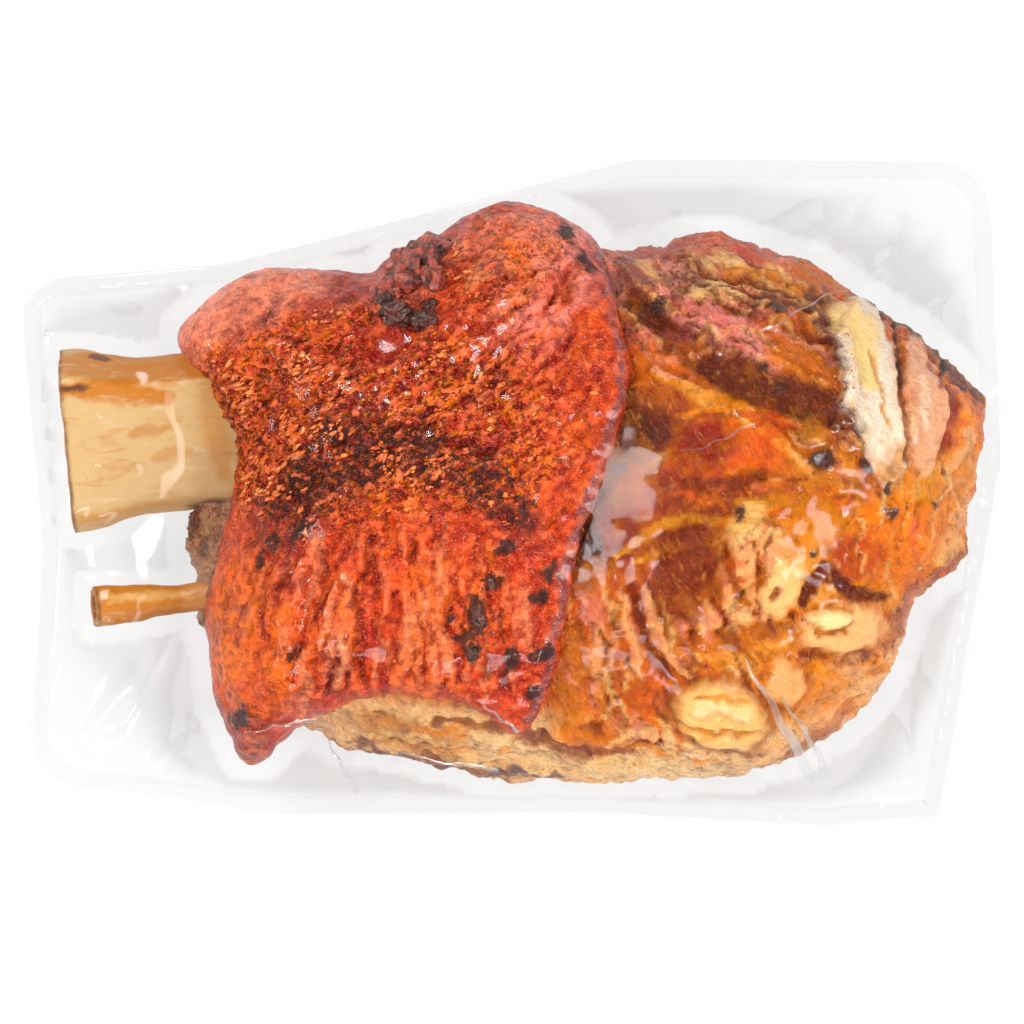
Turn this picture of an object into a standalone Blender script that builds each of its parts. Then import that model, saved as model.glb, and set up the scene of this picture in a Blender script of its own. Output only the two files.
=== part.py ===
"""A roast ham hock sealed in a clear vacuum pouch.

The model is one closed solid: the outer form of the pouch, drawn tight over the skin, the meat and
the two bare bones, with the flat margin where its two films are sealed together.

+X runs from the bare bones to the thick end of the hock, Y runs across it and Z points up from the
table. The origin is on the table, under the middle of the pouch. Sizes here are in millimetres.
"""

import bmesh
import bpy
import numpy as np
from mathutils import Vector

MM = 0.001

# The pouch
MARGIN_THICKNESS = 0.8
SEAL_HEIGHT = 25.0
SEAL_WIDTH = 3.0
CORNER_DROOP = 5.0
RIPPLE = 0.9
RIPPLE_LENGTH = 62.0
CELLS_LONG, CELLS_ACROSS = 50, 34
DRAWING_STEPS, SETTLING_STEPS = 40, 3

# The hock inside it
MEAT_MIDDLE = 27.0
MEAT_DEPTH = 29.5
CAP_RISE, CAP_RIM = 41.0, 34.0
KNUCKLE_RISE, KNUCKLE_RIM = 33.0, 38.0
UNDERSIDE_RIM = 36.0

# The two bare bones: where each starts, where it enters the meat, and its half width at both
SHIN_START, SHIN_ROOT = (-89.5, 10.6), (-50.0, 14.2)
SHIN_HALF_WIDTHS = (17.4, 14.6)
SHIN_HALF_HEIGHT, SHIN_LEVEL = 14.5, 29.0
SPLINT_START, SPLINT_ROOT = (-84.2, -22.6), (-50.0, -19.4)
SPLINT_HALF_WIDTHS = (5.2, 4.2)
SPLINT_HALF_HEIGHT, SPLINT_LEVEL = 4.4, 29.0
BONE_END_ROUNDING = 7.0

# Corners of the pouch, each with the radius of its fillet
LEFT_TOP = (-98.5, 42.6, 9.0)
RIGHT_TOP = (96.2, 66.6, 13.0)
RIGHT_FOOT = (85.9, -65.0, 1.5)
LEFT_FOOT = (-97.2, -57.6, 13.0)
# Soft turns along its four edges, from one corner to the next
TOP_TURNS = ((-56.0, 46.0, 50.0), (25.0, 67.0, 30.0))
RIGHT_TURNS = ((98.4, 4.0, 60.0),)
FOOT_TURNS = ((63.0, -66.9, 24.0), (18.0, -64.2, 30.0), (-46.0, -64.5, 30.0))
LEFT_TURNS = ((-93.8, -12.0, 60.0),)

# Outline of the skin that caps the shank, from its left tip, clockwise
CAP_OUTLINE = (
    (-66.3, 31.0), (-62.0, 37.0), (-55.5, 42.5), (-42.0, 45.2), (-25.5, 44.4), (-14.0, 50.5),
    (-3.0, 57.6), (7.5, 56.6), (15.5, 49.5), (20.5, 34.5), (21.8, 22.0), (17.0, 2.0), (10.5, -17.0),
    (7.0, -36.0), (1.6, -45.6), (-6.0, -42.0), (-22.5, -38.4), (-40.0, -44.0), (-50.8, -52.6),
    (-57.5, -45.0), (-61.4, -26.0), (-57.0, -4.0), (-55.2, 9.0), (-62.0, 21.0),
)
# Outline of the meat at the thick end, from where it leaves the skin, clockwise
KNUCKLE_OUTLINE = (
    (0.0, 46.0), (22.0, 48.6), (37.0, 51.2), (54.0, 47.6), (72.0, 37.5), (88.0, 24.5), (93.6, 17.0),
    (91.6, 2.0), (88.6, -13.5), (80.0, -27.0), (72.5, -40.0), (61.0, -50.0), (46.0, -55.6),
    (20.0, -57.2), (-8.0, -55.0), (-28.0, -50.5), (-38.0, -44.0), (-40.0, 0.0), (-30.0, 36.0),
)


def filleted(start, turns, end):
    """Returns points along one edge of the pouch, with the middle of the corner fillets at its ends."""
    corners = [start, *turns, end]
    places = [Vector(corner[:2]) for corner in corners]
    line = [places[0]]
    for before, place, after, corner in zip(places, places[1:], places[2:], corners[1:]):
        back, ahead = before - place, after - place
        half_angle = back.angle(ahead) / 2
        reach = corner[2] / np.tan(half_angle)
        reach = min(reach, 0.45 * back.length, 0.45 * ahead.length)
        line += bend(place + back.normalized() * reach, place, place + ahead.normalized() * reach)
    return [*line, places[-1]]


def bend(start, corner, end, steps=8):
    """Returns points along a curve that leaves start towards corner and arrives at end from it."""
    shares = np.linspace(0, 1, steps)
    return [start * (1 - t) ** 2 + corner * 2 * t * (1 - t) + end * t**2 for t in shares]


def outline_sides():
    """Returns the pouch's four sides as lists of points that share their ends: top, right, foot, left."""
    corners = (LEFT_TOP, RIGHT_TOP, RIGHT_FOOT, LEFT_FOOT)
    turns = (TOP_TURNS, RIGHT_TURNS, FOOT_TURNS, LEFT_TURNS)
    sides = [filleted(corners[k], turns[k], corners[(k + 1) % 4]) for k in range(4)]
    rounded = []
    for k, side in enumerate(sides):
        previous = sides[k - 1]
        corner = Vector(corners[k][:2])
        back, ahead = (previous[-2] - corner), (side[1] - corner)
        reach = corners[k][2] / np.tan(back.angle(ahead) / 2)
        rounded.append(
            bend(corner + back.normalized() * reach, corner, corner + ahead.normalized() * reach, 9)
        )
    ends = [fillet[4:] for fillet in rounded]
    starts = [rounded[(k + 1) % 4][:5] for k in range(4)]
    return [ends[k] + sides[k][1:-1] + starts[k] for k in range(4)]


def evenly(line, count):
    """Returns count points spread evenly along a line of points, as an array."""
    points = np.array([tuple(point) for point in line])
    along = np.concatenate([[0], np.cumsum(np.linalg.norm(np.diff(points, axis=0), axis=1))])
    at = np.linspace(0, along[-1], count)
    return np.stack([np.interp(at, along, points[:, k]) for k in range(2)], axis=1)


def plan_grid():
    """Returns the grid of points that fills the pouch's outline, as an array of rows from left to right."""
    top, right, foot, left = outline_sides()
    across = np.linspace(0, 1, CELLS_ACROSS + 1)[:, None, None]
    along = np.linspace(0, 1, CELLS_LONG + 1)[None, :, None]
    upper = evenly(top, CELLS_LONG + 1)[None]
    lower = evenly(foot[::-1], CELLS_LONG + 1)[None]
    leftmost = evenly(left, CELLS_ACROSS + 1)[:, None]
    rightmost = evenly(right[::-1], CELLS_ACROSS + 1)[:, None]
    between_rows = lower * (1 - across) + upper * across
    between_columns = leftmost * (1 - along) + rightmost * along
    corners = (
        lower[:, :1] * (1 - across) * (1 - along)
        + lower[:, -1:] * (1 - across) * along
        + upper[:, :1] * across * (1 - along)
        + upper[:, -1:] * across * along
    )
    return between_rows + between_columns - corners


def smooth_loop(points, steps=6):
    """Returns a closed curve through the points, as an array."""
    knots = np.array(points)
    shares = np.linspace(0, 1, steps, endpoint=False)[:, None]
    loop = []
    for k in range(len(knots)):
        a, b, c, d = (knots[(k + i) % len(knots)] for i in range(-1, 3))
        loop.append(
            b + (c - a) / 2 * shares
            + (a - 2.5 * b + 2 * c - d / 2) * shares**2
            + (1.5 * (b - c) + (d - a) / 2) * shares**3
        )
    return np.concatenate(loop)


def depth_inside(places, loop):
    """Returns how far each place lies inside a closed loop, negative outside it."""
    ends = np.roll(loop, -1, axis=0)
    edge = ends - loop
    offset = places[..., None, :] - loop
    share = np.clip((offset * edge).sum(-1) / (edge**2).sum(-1), 0, 1)
    nearest = np.linalg.norm(offset - share[..., None] * edge, axis=-1).min(-1)
    x, y = places[..., 0, None], places[..., 1, None]
    spans = (loop[:, 1] > y) != (ends[:, 1] > y)
    rise = np.where(edge[:, 1] == 0, 1, edge[:, 1])
    crossed = spans & (x < loop[:, 0] + (y - loop[:, 1]) * edge[:, 0] / rise)
    return np.where(crossed.sum(-1) % 2 == 1, nearest, -nearest)


def dome(depth, rim, rise):
    """Returns the height of a rounded mound that reaches its full rise at rim inside its outline."""
    share = np.clip(depth / rim, 0, 1)
    return rise * np.sqrt(1 - (1 - share) ** 2)


def mound(places, outline, rim, rise, depth):
    """Returns the upper and the lower surface of a piece of meat, as heights, or NaN outside it."""
    inside = depth_inside(places, smooth_loop(outline))
    covered = inside > 0
    upper = MEAT_MIDDLE + dome(inside, rim, rise)
    lower = MEAT_MIDDLE - dome(inside, UNDERSIDE_RIM, depth)
    return np.where(covered, upper, np.nan), np.where(covered, lower, np.nan)


def bone(places, start, root, half_widths, half_height, level):
    """Returns the upper and the lower surface of a bare bone, as heights, or NaN beside it."""
    axis = np.array(root) - np.array(start)
    length = np.linalg.norm(axis)
    along = (places - np.array(start)) @ axis / length
    side = (places - np.array(start)) @ np.array([-axis[1], axis[0]]) / length
    half_width = np.interp(along, (0, length), half_widths)
    covered = (along > 0) & (along < length) & (np.abs(side) < half_width)
    swell = half_height * np.sqrt(np.clip(1 - (side / half_width) ** 2, 0, 1))
    swell = swell * dome(along, BONE_END_ROUNDING, 1)
    return np.where(covered, level + swell, np.nan), np.where(covered, level - swell, np.nan)


def seal_plane(places):
    """Returns the height of the sealed margin, which droops to the corners and ripples along its edges."""
    x, y = places[..., 0], places[..., 1]
    reach_x, reach_y = np.abs(places[..., 0]).max(), np.abs(places[..., 1]).max()
    droop = CORNER_DROOP * (x / reach_x) ** 2 * (y / reach_y) ** 2
    ripple = np.sin(2 * np.pi * x / RIPPLE_LENGTH + 0.8) * (y / reach_y)
    return SEAL_HEIGHT - droop + RIPPLE * ripple


def mean_of_neighbours(heights):
    """Returns the mean height of each grid point's four neighbours."""
    around = np.pad(heights, 1, mode="edge")
    return (around[:-2, 1:-1] + around[2:, 1:-1] + around[1:-1, :-2] + around[1:-1, 2:]) / 4


def drawn_over(contents, seal, sealed, sign):
    """Draws a film over its contents: it bridges each hollow, and lies on what stands proud of it."""
    film = np.where(np.isnan(contents), seal, contents)
    rest = np.where(np.isnan(contents), -np.inf, sign * contents)
    for _ in range(DRAWING_STEPS):
        film = sign * np.maximum(sign * mean_of_neighbours(film), rest)
        film = np.where(sealed, seal, film)
    for _ in range(SETTLING_STEPS):
        film = np.where(sealed, seal, (film + mean_of_neighbours(film)) / 2)
    return film


def pouch_surfaces(places):
    """Returns the heights of the upper and the lower film over the grid of places."""
    seal = seal_plane(places)
    ring = np.concatenate([places[0], places[1:, -1], places[-1, -2::-1], places[-2:0:-1, 0]])
    sealed = depth_inside(places, ring) < SEAL_WIDTH
    pieces = (
        mound(places, CAP_OUTLINE, CAP_RIM, CAP_RISE, MEAT_DEPTH),
        mound(places, KNUCKLE_OUTLINE, KNUCKLE_RIM, KNUCKLE_RISE, MEAT_DEPTH),
        bone(places, SHIN_START, SHIN_ROOT, SHIN_HALF_WIDTHS, SHIN_HALF_HEIGHT, SHIN_LEVEL),
        bone(places, SPLINT_START, SPLINT_ROOT, SPLINT_HALF_WIDTHS, SPLINT_HALF_HEIGHT, SPLINT_LEVEL),
    )
    highest = np.fmax.reduce([upper for upper, _ in pieces])
    lowest = np.fmin.reduce([lower for _, lower in pieces])
    half = MARGIN_THICKNESS / 2
    upper = drawn_over(highest, seal + half, sealed, 1)
    lower = drawn_over(lowest, seal - half, sealed, -1)
    return upper, np.maximum(np.minimum(lower, upper - MARGIN_THICKNESS), 0)


def centred(places):
    """Returns the grid of places moved so that the middle of its bounding box is at zero."""
    flat = places.reshape(-1, 2)
    return places - (flat.min(axis=0) + flat.max(axis=0)) / 2


def pouch_mesh():
    """Returns the mesh of the filled pouch: an upper and a lower sheet joined round their rim."""
    places = plan_grid()
    upper, lower = pouch_surfaces(places)
    middle = centred(places)
    shape = bmesh.new()
    sheets = [
        [[shape.verts.new((*(xy * MM), z * MM)) for xy, z in zip(row, heights)]
         for row, heights in zip(middle, sheet)]
        for sheet in (upper, lower)
    ]
    for sheet in sheets:
        for row, above in zip(sheet, sheet[1:]):
            for k in range(len(row) - 1):
                shape.faces.new((row[k], row[k + 1], above[k + 1], above[k]))
    rims = [[edge for edge in shape.edges if edge.is_boundary]]
    bmesh.ops.bridge_loops(shape, edges=rims[0])
    bmesh.ops.recalc_face_normals(shape, faces=shape.faces)
    bmesh.ops.triangulate(shape, faces=shape.faces, quad_method="SHORT_EDGE")
    mesh = bpy.data.meshes.new("sealed_pouch")
    shape.to_mesh(mesh)
    shape.free()
    mesh.shade_smooth()
    return mesh


def film_material():
    """Returns the clear film, tinted by the roast meat that it holds."""
    material = bpy.data.materials.new("clear_film_over_roast_meat")
    material.use_nodes = True
    shader = material.node_tree.nodes["Principled BSDF"]
    shader.inputs["Base Color"].default_value = (0.48, 0.13, 0.04, 1)
    shader.inputs["Roughness"].default_value = 0.15
    shader.inputs["Metallic"].default_value = 0.0
    return material


def main():
    """Clears the scene and builds the pouch."""
    for obj in list(bpy.data.objects):
        bpy.data.objects.remove(obj)
    pouch = bpy.data.objects.new("sealed_pouch", pouch_mesh())
    pouch.data.materials.append(film_material())
    bpy.context.scene.collection.objects.link(pouch)


main()
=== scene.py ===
"""The look of a roast ham hock sealed in a clear vacuum pouch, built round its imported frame.

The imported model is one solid, the pouch's outer form. This script replaces it with the clear film and
with everything that shows through: the browned skin cap, the glazed meat of the thick end with its
tendons and fat, the two sawn bones, the ragged meat between them, and the charred lumps and crumbs.

Shapes are worked out in millimetres in the part's own frame: +X runs from the bare bones to the thick
end, +Y across the hock and +Z up from the table.
"""

from __future__ import annotations

import logging
import math
from collections.abc import Sequence
from dataclasses import dataclass, field
from enum import Enum

import bmesh
import bpy
import numpy as np
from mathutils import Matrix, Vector

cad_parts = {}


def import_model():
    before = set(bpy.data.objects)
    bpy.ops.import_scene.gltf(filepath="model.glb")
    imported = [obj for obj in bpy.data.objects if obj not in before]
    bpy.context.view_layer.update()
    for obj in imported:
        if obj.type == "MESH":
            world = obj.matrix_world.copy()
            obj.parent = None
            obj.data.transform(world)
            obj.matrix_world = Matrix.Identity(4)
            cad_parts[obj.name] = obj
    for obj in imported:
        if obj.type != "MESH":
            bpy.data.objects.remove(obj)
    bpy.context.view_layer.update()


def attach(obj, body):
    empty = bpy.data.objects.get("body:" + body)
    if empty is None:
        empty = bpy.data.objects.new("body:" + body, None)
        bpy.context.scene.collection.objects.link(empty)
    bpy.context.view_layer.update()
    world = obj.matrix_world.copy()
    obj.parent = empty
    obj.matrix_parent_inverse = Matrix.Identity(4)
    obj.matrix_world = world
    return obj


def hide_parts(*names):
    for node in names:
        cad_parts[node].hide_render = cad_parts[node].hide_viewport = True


LOG = logging.getLogger("ham_hock")
MM = 0.001
BODY = "root"
NODE = "sealed_pouch"

Array = np.ndarray
Point = tuple[float, float]
Paint = tuple[int, int, int]

# The frame that the pouch and its contents share
TABLE_CLEARANCE = 0.35
MEAT_MIDDLE = 27.0
MEAT_DEPTH = 29.0
SKIN_THICKNESS = 3.4

# Outline of the skin cap, from its left tip, clockwise
CAP_OUTLINE: tuple[Point, ...] = (
    (-66.3, 31), (-62, 37), (-55.5, 42.5), (-48, 45.2), (-36, 45), (-25.5, 44.4),
    (-16, 49.8), (-10, 54.6), (-3.6, 57.8), (4, 57.6), (10, 55.4), (15.8, 49.6), (18.4, 43),
    (20.5, 34), (22, 23), (19.6, 12), (15.3, -1.6), (11.4, -13.4), (9.4, -25.4),
    (7.2, -37.4), (1.8, -45.8), (-3.4, -42.6), (-11.5, -40.2), (-22.4, -38.4), (-32.4, -40.4),
    (-42.3, -45.2), (-50.6, -52.8), (-54.6, -49.8), (-59.8, -38.4), (-61.4, -25.4), (-59.2, -13.4),
    (-56.6, -3.4), (-54.8, 9.6), (-58, 16), (-62.2, 22.4),
)
# Outline of the shank under the skin: the same at its left and its top, and wider where meat meets it
SHANK_OUTLINE: tuple[Point, ...] = (
    *CAP_OUTLINE[:10],
    (12, 54.4), (22, 47), (34, 36), (44, 18), (46, -6), (38, -30), (20, -46), (-4, -50), (-24, -49),
    (-42, -50),
    *CAP_OUTLINE[26:],
)
# Outline of the meat at the thick end
KNUCKLE_OUTLINE: tuple[Point, ...] = (
    (0, 42), (14, 45), (22, 48.2), (30, 49.6), (37, 51), (46, 49.8), (55, 47.2),
    (64, 43), (72, 37.4), (80, 30.8), (87, 25.4), (93.4, 17.8), (92.6, 9), (90.4, -2),
    (88.6, -13.2), (81.8, -19.4), (77.6, -27.4), (74.4, -37), (66, -46.2), (56, -52.4),
    (46, -55.4), (32, -56.6), (14, -57.2), (-4, -55.6), (-18, -53.4), (-28, -50),
    (-36, -44), (-40, 0), (-26, 34),
)
# Corners of the pouch, each with the radius of its fillet, and the soft turns along its four edges
LEFT_TOP = (-98.5, 42.6, 9.0)
RIGHT_TOP = (96.2, 66.6, 13.0)
RIGHT_FOOT = (85.9, -65.0, 1.5)
LEFT_FOOT = (-97.2, -57.6, 13.0)
TOP_TURNS = ((-56.0, 46.0, 50.0), (25.0, 67.0, 30.0))
RIGHT_TURNS = ((98.4, 4.0, 60.0),)
FOOT_TURNS = ((63.0, -66.9, 24.0), (18.0, -64.2, 30.0), (-46.0, -64.5, 30.0))
LEFT_TURNS = ((-93.8, -12.0, 60.0),)


def srgb(paint: Sequence[int]) -> tuple[float, float, float]:
    """Turns a colour of 0 to 255 a channel into linear light.

    Args:
        paint: red, green and blue as a screen shows them.

    Returns:
        The three channels in linear light.
    """
    shares = [channel / 255 for channel in paint]
    return tuple(s / 12.92 if s <= 0.04045 else ((s + 0.055) / 1.055) ** 2.4 for s in shares)


def smooth_step(value: Array, low: float, high: float) -> Array:
    """Rises smoothly from 0 at low to 1 at high.

    Args:
        value: the numbers to read.
        low: where the rise starts.
        high: where it ends.

    Returns:
        A share from 0 to 1 for each number.
    """
    share = np.clip((value - low) / (high - low), 0, 1)
    return share * share * (3 - 2 * share)


# Noise, outlines and meshes


class Noise:
    """Smooth gradient noise in space, the same on every run."""

    PERIOD = 32

    def __init__(self, seed: int) -> None:
        """Draws the lattice of slopes from a seed."""
        slopes = np.random.default_rng(seed).normal(size=(self.PERIOD,) * 3 + (3,))
        self.slopes = (slopes / np.linalg.norm(slopes, axis=-1, keepdims=True)).astype(np.float32)

    def at(self, points: Array) -> Array:
        """Reads the noise, about -1 to 1.

        Args:
            points: places as rows of x, y and z, in lattice cells.

        Returns:
            One number for each place.
        """
        cell = np.floor(points)
        inner = (points - cell).astype(np.float32)
        corner = cell.astype(np.int64)
        ease = inner**3 * (inner * (inner * 6 - 15) + 10)
        total = np.zeros(len(points), np.float32)
        for step in np.ndindex(2, 2, 2):
            i, j, k = ((corner[:, a] + step[a]) % self.PERIOD for a in range(3))
            slope = self.slopes[i, j, k]
            weight = np.prod(np.where(np.array(step) == 1, ease, 1 - ease), axis=1)
            total += weight * ((inner - np.array(step, np.float32)) * slope).sum(axis=1)
        return total * 1.7

    def layers(self, points: Array, size: float, count: int = 3, gain: float = 0.5) -> Array:
        """Adds several layers of noise, each half the size of the last.

        Args:
            points: places in millimetres.
            size: size of the largest lumps, in millimetres.
            count: how many layers.
            gain: strength of each layer against the last.

        Returns:
            One number for each place, about -1 to 1.
        """
        total = np.zeros(len(points), np.float32)
        share = 1.0
        for layer in range(count):
            total += share * self.at(points * (2**layer / size) + 7.3 * layer)
            share *= gain
        return total

    def ridges(self, points: Array, size: float, count: int = 2) -> Array:
        """Noise with sharp crests.

        Args:
            points: places in millimetres.
            size: distance between crests, in millimetres.
            count: how many layers.

        Returns:
            One number for each place, near 1 on a crest and 0 or less between.
        """
        total = np.zeros(len(points), np.float32)
        share = 1.0
        for layer in range(count):
            total += share * (1 - 2.2 * np.abs(self.at(points * (2**layer / size) + 3.1 * layer)))
            share *= 0.5
        return total / (2 - 0.5 ** (count - 1))


COARSE = Noise(11)
FINE = Noise(23)
WARP_X, WARP_Y = Noise(37), Noise(41)


def spread(places: Array, amount: float, size: float) -> Array:
    """Shifts places sideways by noise, so that edges painted on them come out ragged.

    Args:
        places: rows of x, y and z in millimetres.
        amount: the largest shift.
        size: the size of the wobbles.

    Returns:
        The shifted x and y as an array of two columns.
    """
    return places[:, :2] + amount * np.stack(
        [WARP_X.layers(places, size, 2), WARP_Y.layers(places, size, 2)], axis=1
    )


def smooth_loop(points: Sequence[Point], steps: int = 6) -> Array:
    """Draws a closed curve through points.

    Args:
        points: corners in order.
        steps: pieces between two corners.

    Returns:
        The curve as rows of x and y.
    """
    knots = np.array(points)
    shares = np.linspace(0, 1, steps, endpoint=False)[:, None]
    loop = []
    for k in range(len(knots)):
        a, b, c, d = (knots[(k + i) % len(knots)] for i in range(-1, 3))
        loop.append(
            b
            + (c - a) / 2 * shares
            + (a - 2.5 * b + 2 * c - d / 2) * shares**2
            + (1.5 * (b - c) + (d - a) / 2) * shares**3
        )
    return np.concatenate(loop)


def depth_inside(places: Array, loop: Array) -> Array:
    """Measures how far places lie inside a closed loop.

    Args:
        places: rows of x and y.
        loop: the loop's points.

    Returns:
        The distance to the loop, negative outside it.
    """
    best = np.full(len(places), np.inf)
    crossings = np.zeros(len(places), np.int64)
    x, y = places[:, 0], places[:, 1]
    for (ax, ay), (bx, by) in zip(loop, np.roll(loop, -1, axis=0)):
        ex, ey = bx - ax, by - ay
        share = np.clip(((x - ax) * ex + (y - ay) * ey) / (ex * ex + ey * ey), 0, 1)
        best = np.minimum(best, (x - ax - share * ex) ** 2 + (y - ay - share * ey) ** 2)
        if ey:
            crossings += ((ay > y) != (by > y)) & (x < ax + (y - ay) * ex / ey)
    nearest = np.sqrt(best)
    return np.where(crossings % 2 == 1, nearest, -nearest)


def distance_to_path(places: Array, path: Sequence[Point]) -> tuple[Array, Array]:
    """Measures the distance to an open path.

    Args:
        places: rows of x and y.
        path: the path's points.

    Returns:
        The distance, and the share of the way along the path of the nearest point.
    """
    best = np.full(len(places), np.inf)
    along = np.zeros(len(places))
    count = max(1, len(path) - 1)
    for k in range(count):
        a, b = np.array(path[k]), np.array(path[min(k + 1, len(path) - 1)])
        edge = b - a
        share = np.clip((places - a) @ edge / max(edge @ edge, 1e-9), 0, 1)
        gap = np.linalg.norm(places - a - share[:, None] * edge, axis=1)
        along = np.where(gap < best, (k + share) / count, along)
        best = np.minimum(best, gap)
    return best, along


@dataclass(frozen=True)
class Block:
    """A block of space filled with evenly spaced samples."""

    low: tuple[float, float, float]
    high: tuple[float, float, float]
    step: float

    def axes(self) -> list[Array]:
        """Returns the sample positions along x, y and z.

        Returns:
            Three arrays of positions in millimetres.
        """
        return [
            np.arange(a, b + self.step, self.step, dtype=np.float32) for a, b in zip(self.low, self.high)
        ]

    def plan(self) -> tuple[Array, tuple[int, int]]:
        """Returns the block's plan as rows of x and y, and its shape.

        Returns:
            The rows, and how many samples there are each way.
        """
        x, y, _ = self.axes()
        places = np.stack(np.meshgrid(x, y, indexing="ij"), axis=-1)
        return places.reshape(-1, 2), places.shape[:2]

    def read(self, values: Array, points: Array) -> Array:
        """Reads samples at places, each from the sample nearest to it.

        Args:
            values: the samples.
            points: rows of x, y and z.

        Returns:
            One value for each place.
        """
        spots = np.round((points - np.array(self.low)) / self.step).astype(int)
        spots = np.clip(spots, 0, np.array(values.shape) - 1)
        return values[spots[:, 0], spots[:, 1], spots[:, 2]]

    def surface(self, values: Array) -> "Skin":
        """Meshes the surface where the samples change sign, which are above zero inside.

        Args:
            values: the samples.

        Returns:
            The surface as quads that face outwards.
        """
        inside = values > 0
        shape = tuple(n - 1 for n in values.shape)
        count = np.zeros(shape, np.int8)
        for step in np.ndindex(2, 2, 2):
            count += inside[tuple(slice(s, s + n) for s, n in zip(step, shape))]
        cells = np.argwhere((count > 0) & (count < 8))
        number = np.full(shape, -1, np.int64)
        number[tuple(cells.T)] = np.arange(len(cells))
        corner = {
            step: values[tuple((cells + np.array(step)).T)] for step in np.ndindex(2, 2, 2)
        }
        total, crossed = np.zeros((len(cells), 3)), np.zeros(len(cells))
        for axis in range(3):
            for step in np.ndindex(2, 2, 2):
                if step[axis]:
                    continue
                end = tuple(s + (a == axis) for a, s in enumerate(step))
                a, b = corner[step], corner[end]
                cut = (a > 0) != (b > 0)
                share = np.where(cut, a / np.where(cut, a - b, 1), 0)
                spot = np.tile(np.array(step, float), (len(cells), 1))
                spot[:, axis] += share
                total += np.where(cut[:, None], spot, 0)
                crossed += cut
        points = (cells + total / crossed[:, None]) * self.step + np.array(self.low)
        faces = [self._walls(inside, number, axis) for axis in range(3)]
        return Skin(points, np.concatenate(faces))

    @staticmethod
    def _walls(inside: Array, number: Array, axis: int) -> Array:
        """Makes one quad round each sample edge along an axis that the surface crosses.

        Args:
            inside: which samples are inside.
            number: the index of the surface point in each cell.
            axis: the axis of the edges.

        Returns:
            The quads as rows of four point indices.
        """
        u, v = (axis + 1) % 3, (axis + 2) % 3
        near, far = [slice(1, -1)] * 3, [slice(1, -1)] * 3
        near[axis], far[axis] = slice(None, -1), slice(1, None)
        first, last = inside[tuple(near)], inside[tuple(far)]
        edges = np.argwhere(first != last)
        outward = first[tuple(edges.T)]
        ring = []
        for du, dv in ((0, 0), (1, 0), (1, 1), (0, 1)):
            cell = edges.copy()
            cell[:, u] += du
            cell[:, v] += dv
            ring.append(number[tuple(cell.T)])
        quads = np.stack(ring, axis=1)
        quads[~outward] = quads[~outward][:, ::-1]
        return quads


@dataclass
class Skin:
    """A surface being shaped: its points in millimetres, its faces, and its painted layers."""

    points: Array
    faces: Array
    layers: dict[str, Array] = field(default_factory=dict)

    def normals(self) -> Array:
        """Returns the unit normal at each point.

        Returns:
            The normals as rows of x, y and z.
        """
        corners = self.points[self.faces]
        across = np.cross(corners[:, 2] - corners[:, 0], corners[:, -1] - corners[:, 1])
        total = np.zeros_like(self.points)
        for k in range(self.faces.shape[1]):
            for axis in range(3):
                total[:, axis] += np.bincount(self.faces[:, k], across[:, axis], len(self.points))
        return total / np.maximum(np.linalg.norm(total, axis=1, keepdims=True), 1e-12)

    def relax(self, passes: int, share: float = 0.5) -> None:
        """Evens the surface out.

        Args:
            passes: how many times.
            share: how far each point moves to the middle of its neighbours.
        """
        for _ in range(passes):
            total, count = np.zeros_like(self.points), np.zeros(len(self.points))
            for k in range(self.faces.shape[1]):
                here = self.faces[:, k]
                for other in (self.faces[:, k - 1], self.faces[:, (k + 1) % self.faces.shape[1]]):
                    count += np.bincount(here, minlength=len(self.points))
                    for axis in range(3):
                        total[:, axis] += np.bincount(here, self.points[other, axis], len(self.points))
            middle = total / np.maximum(count, 1)[:, None]
            self.points += share * np.where(count[:, None] > 0, middle - self.points, 0)

    def hollows(self, passes: int) -> Array:
        """Measures how far each point stands out of its evened-out surroundings.

        Args:
            passes: how widely the surroundings are evened out.

        Returns:
            The height in millimetres, negative in a hollow.
        """
        even = Skin(self.points.copy(), self.faces)
        even.relax(passes, 0.8)
        return ((self.points - even.points) * even.normals()).sum(axis=1)

    def paint_hollow_shade_and_crest_highlight(self, dark: Paint, light: Paint, reach: float, strength: float) -> None:
        """Darkens the hollows of the painted tone as painted shade, and lightens the crests as painted
        highlights.

        Args:
            dark: the colour of the painted shade in hollows.
            light: the colour of the painted highlight on crests.
            reach: how deep a hollow is when it is fully dark.
            strength: how much of the tone changes there.
        """
        fine, broad = self.hollows(5), self.hollows(24)
        level = fine / (0.3 * reach) * 0.5 + broad / reach * 0.6
        for tint, share in ((dark, smooth_step(-level, 0.1, 1.4)), (light, smooth_step(level, 0.2, 1.6))):
            mix = strength * share[:, None]
            self.layers["tone"] = self.layers["tone"] * (1 - mix) + np.array(srgb(tint)) * mix

    def push(self, amount: Array) -> None:
        """Moves each point along its normal by its own amount."""
        self.points = self.points + self.normals() * amount[:, None]

    def keep(self, wanted: Array) -> None:
        """Keeps the faces that are wanted, and the points that they use.

        Args:
            wanted: a truth value for each face.
        """
        self.faces = self.faces[wanted]
        used = np.unique(self.faces)
        place = np.full(len(self.points), -1)
        place[used] = np.arange(len(used))
        self.points, self.faces = self.points[used], place[self.faces]
        self.layers = {name: values[used] for name, values in self.layers.items()}

    def rest_on(self, level: float) -> None:
        """Flattens whatever hangs below a level onto it."""
        self.points[:, 2] = np.maximum(self.points[:, 2], level)


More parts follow.
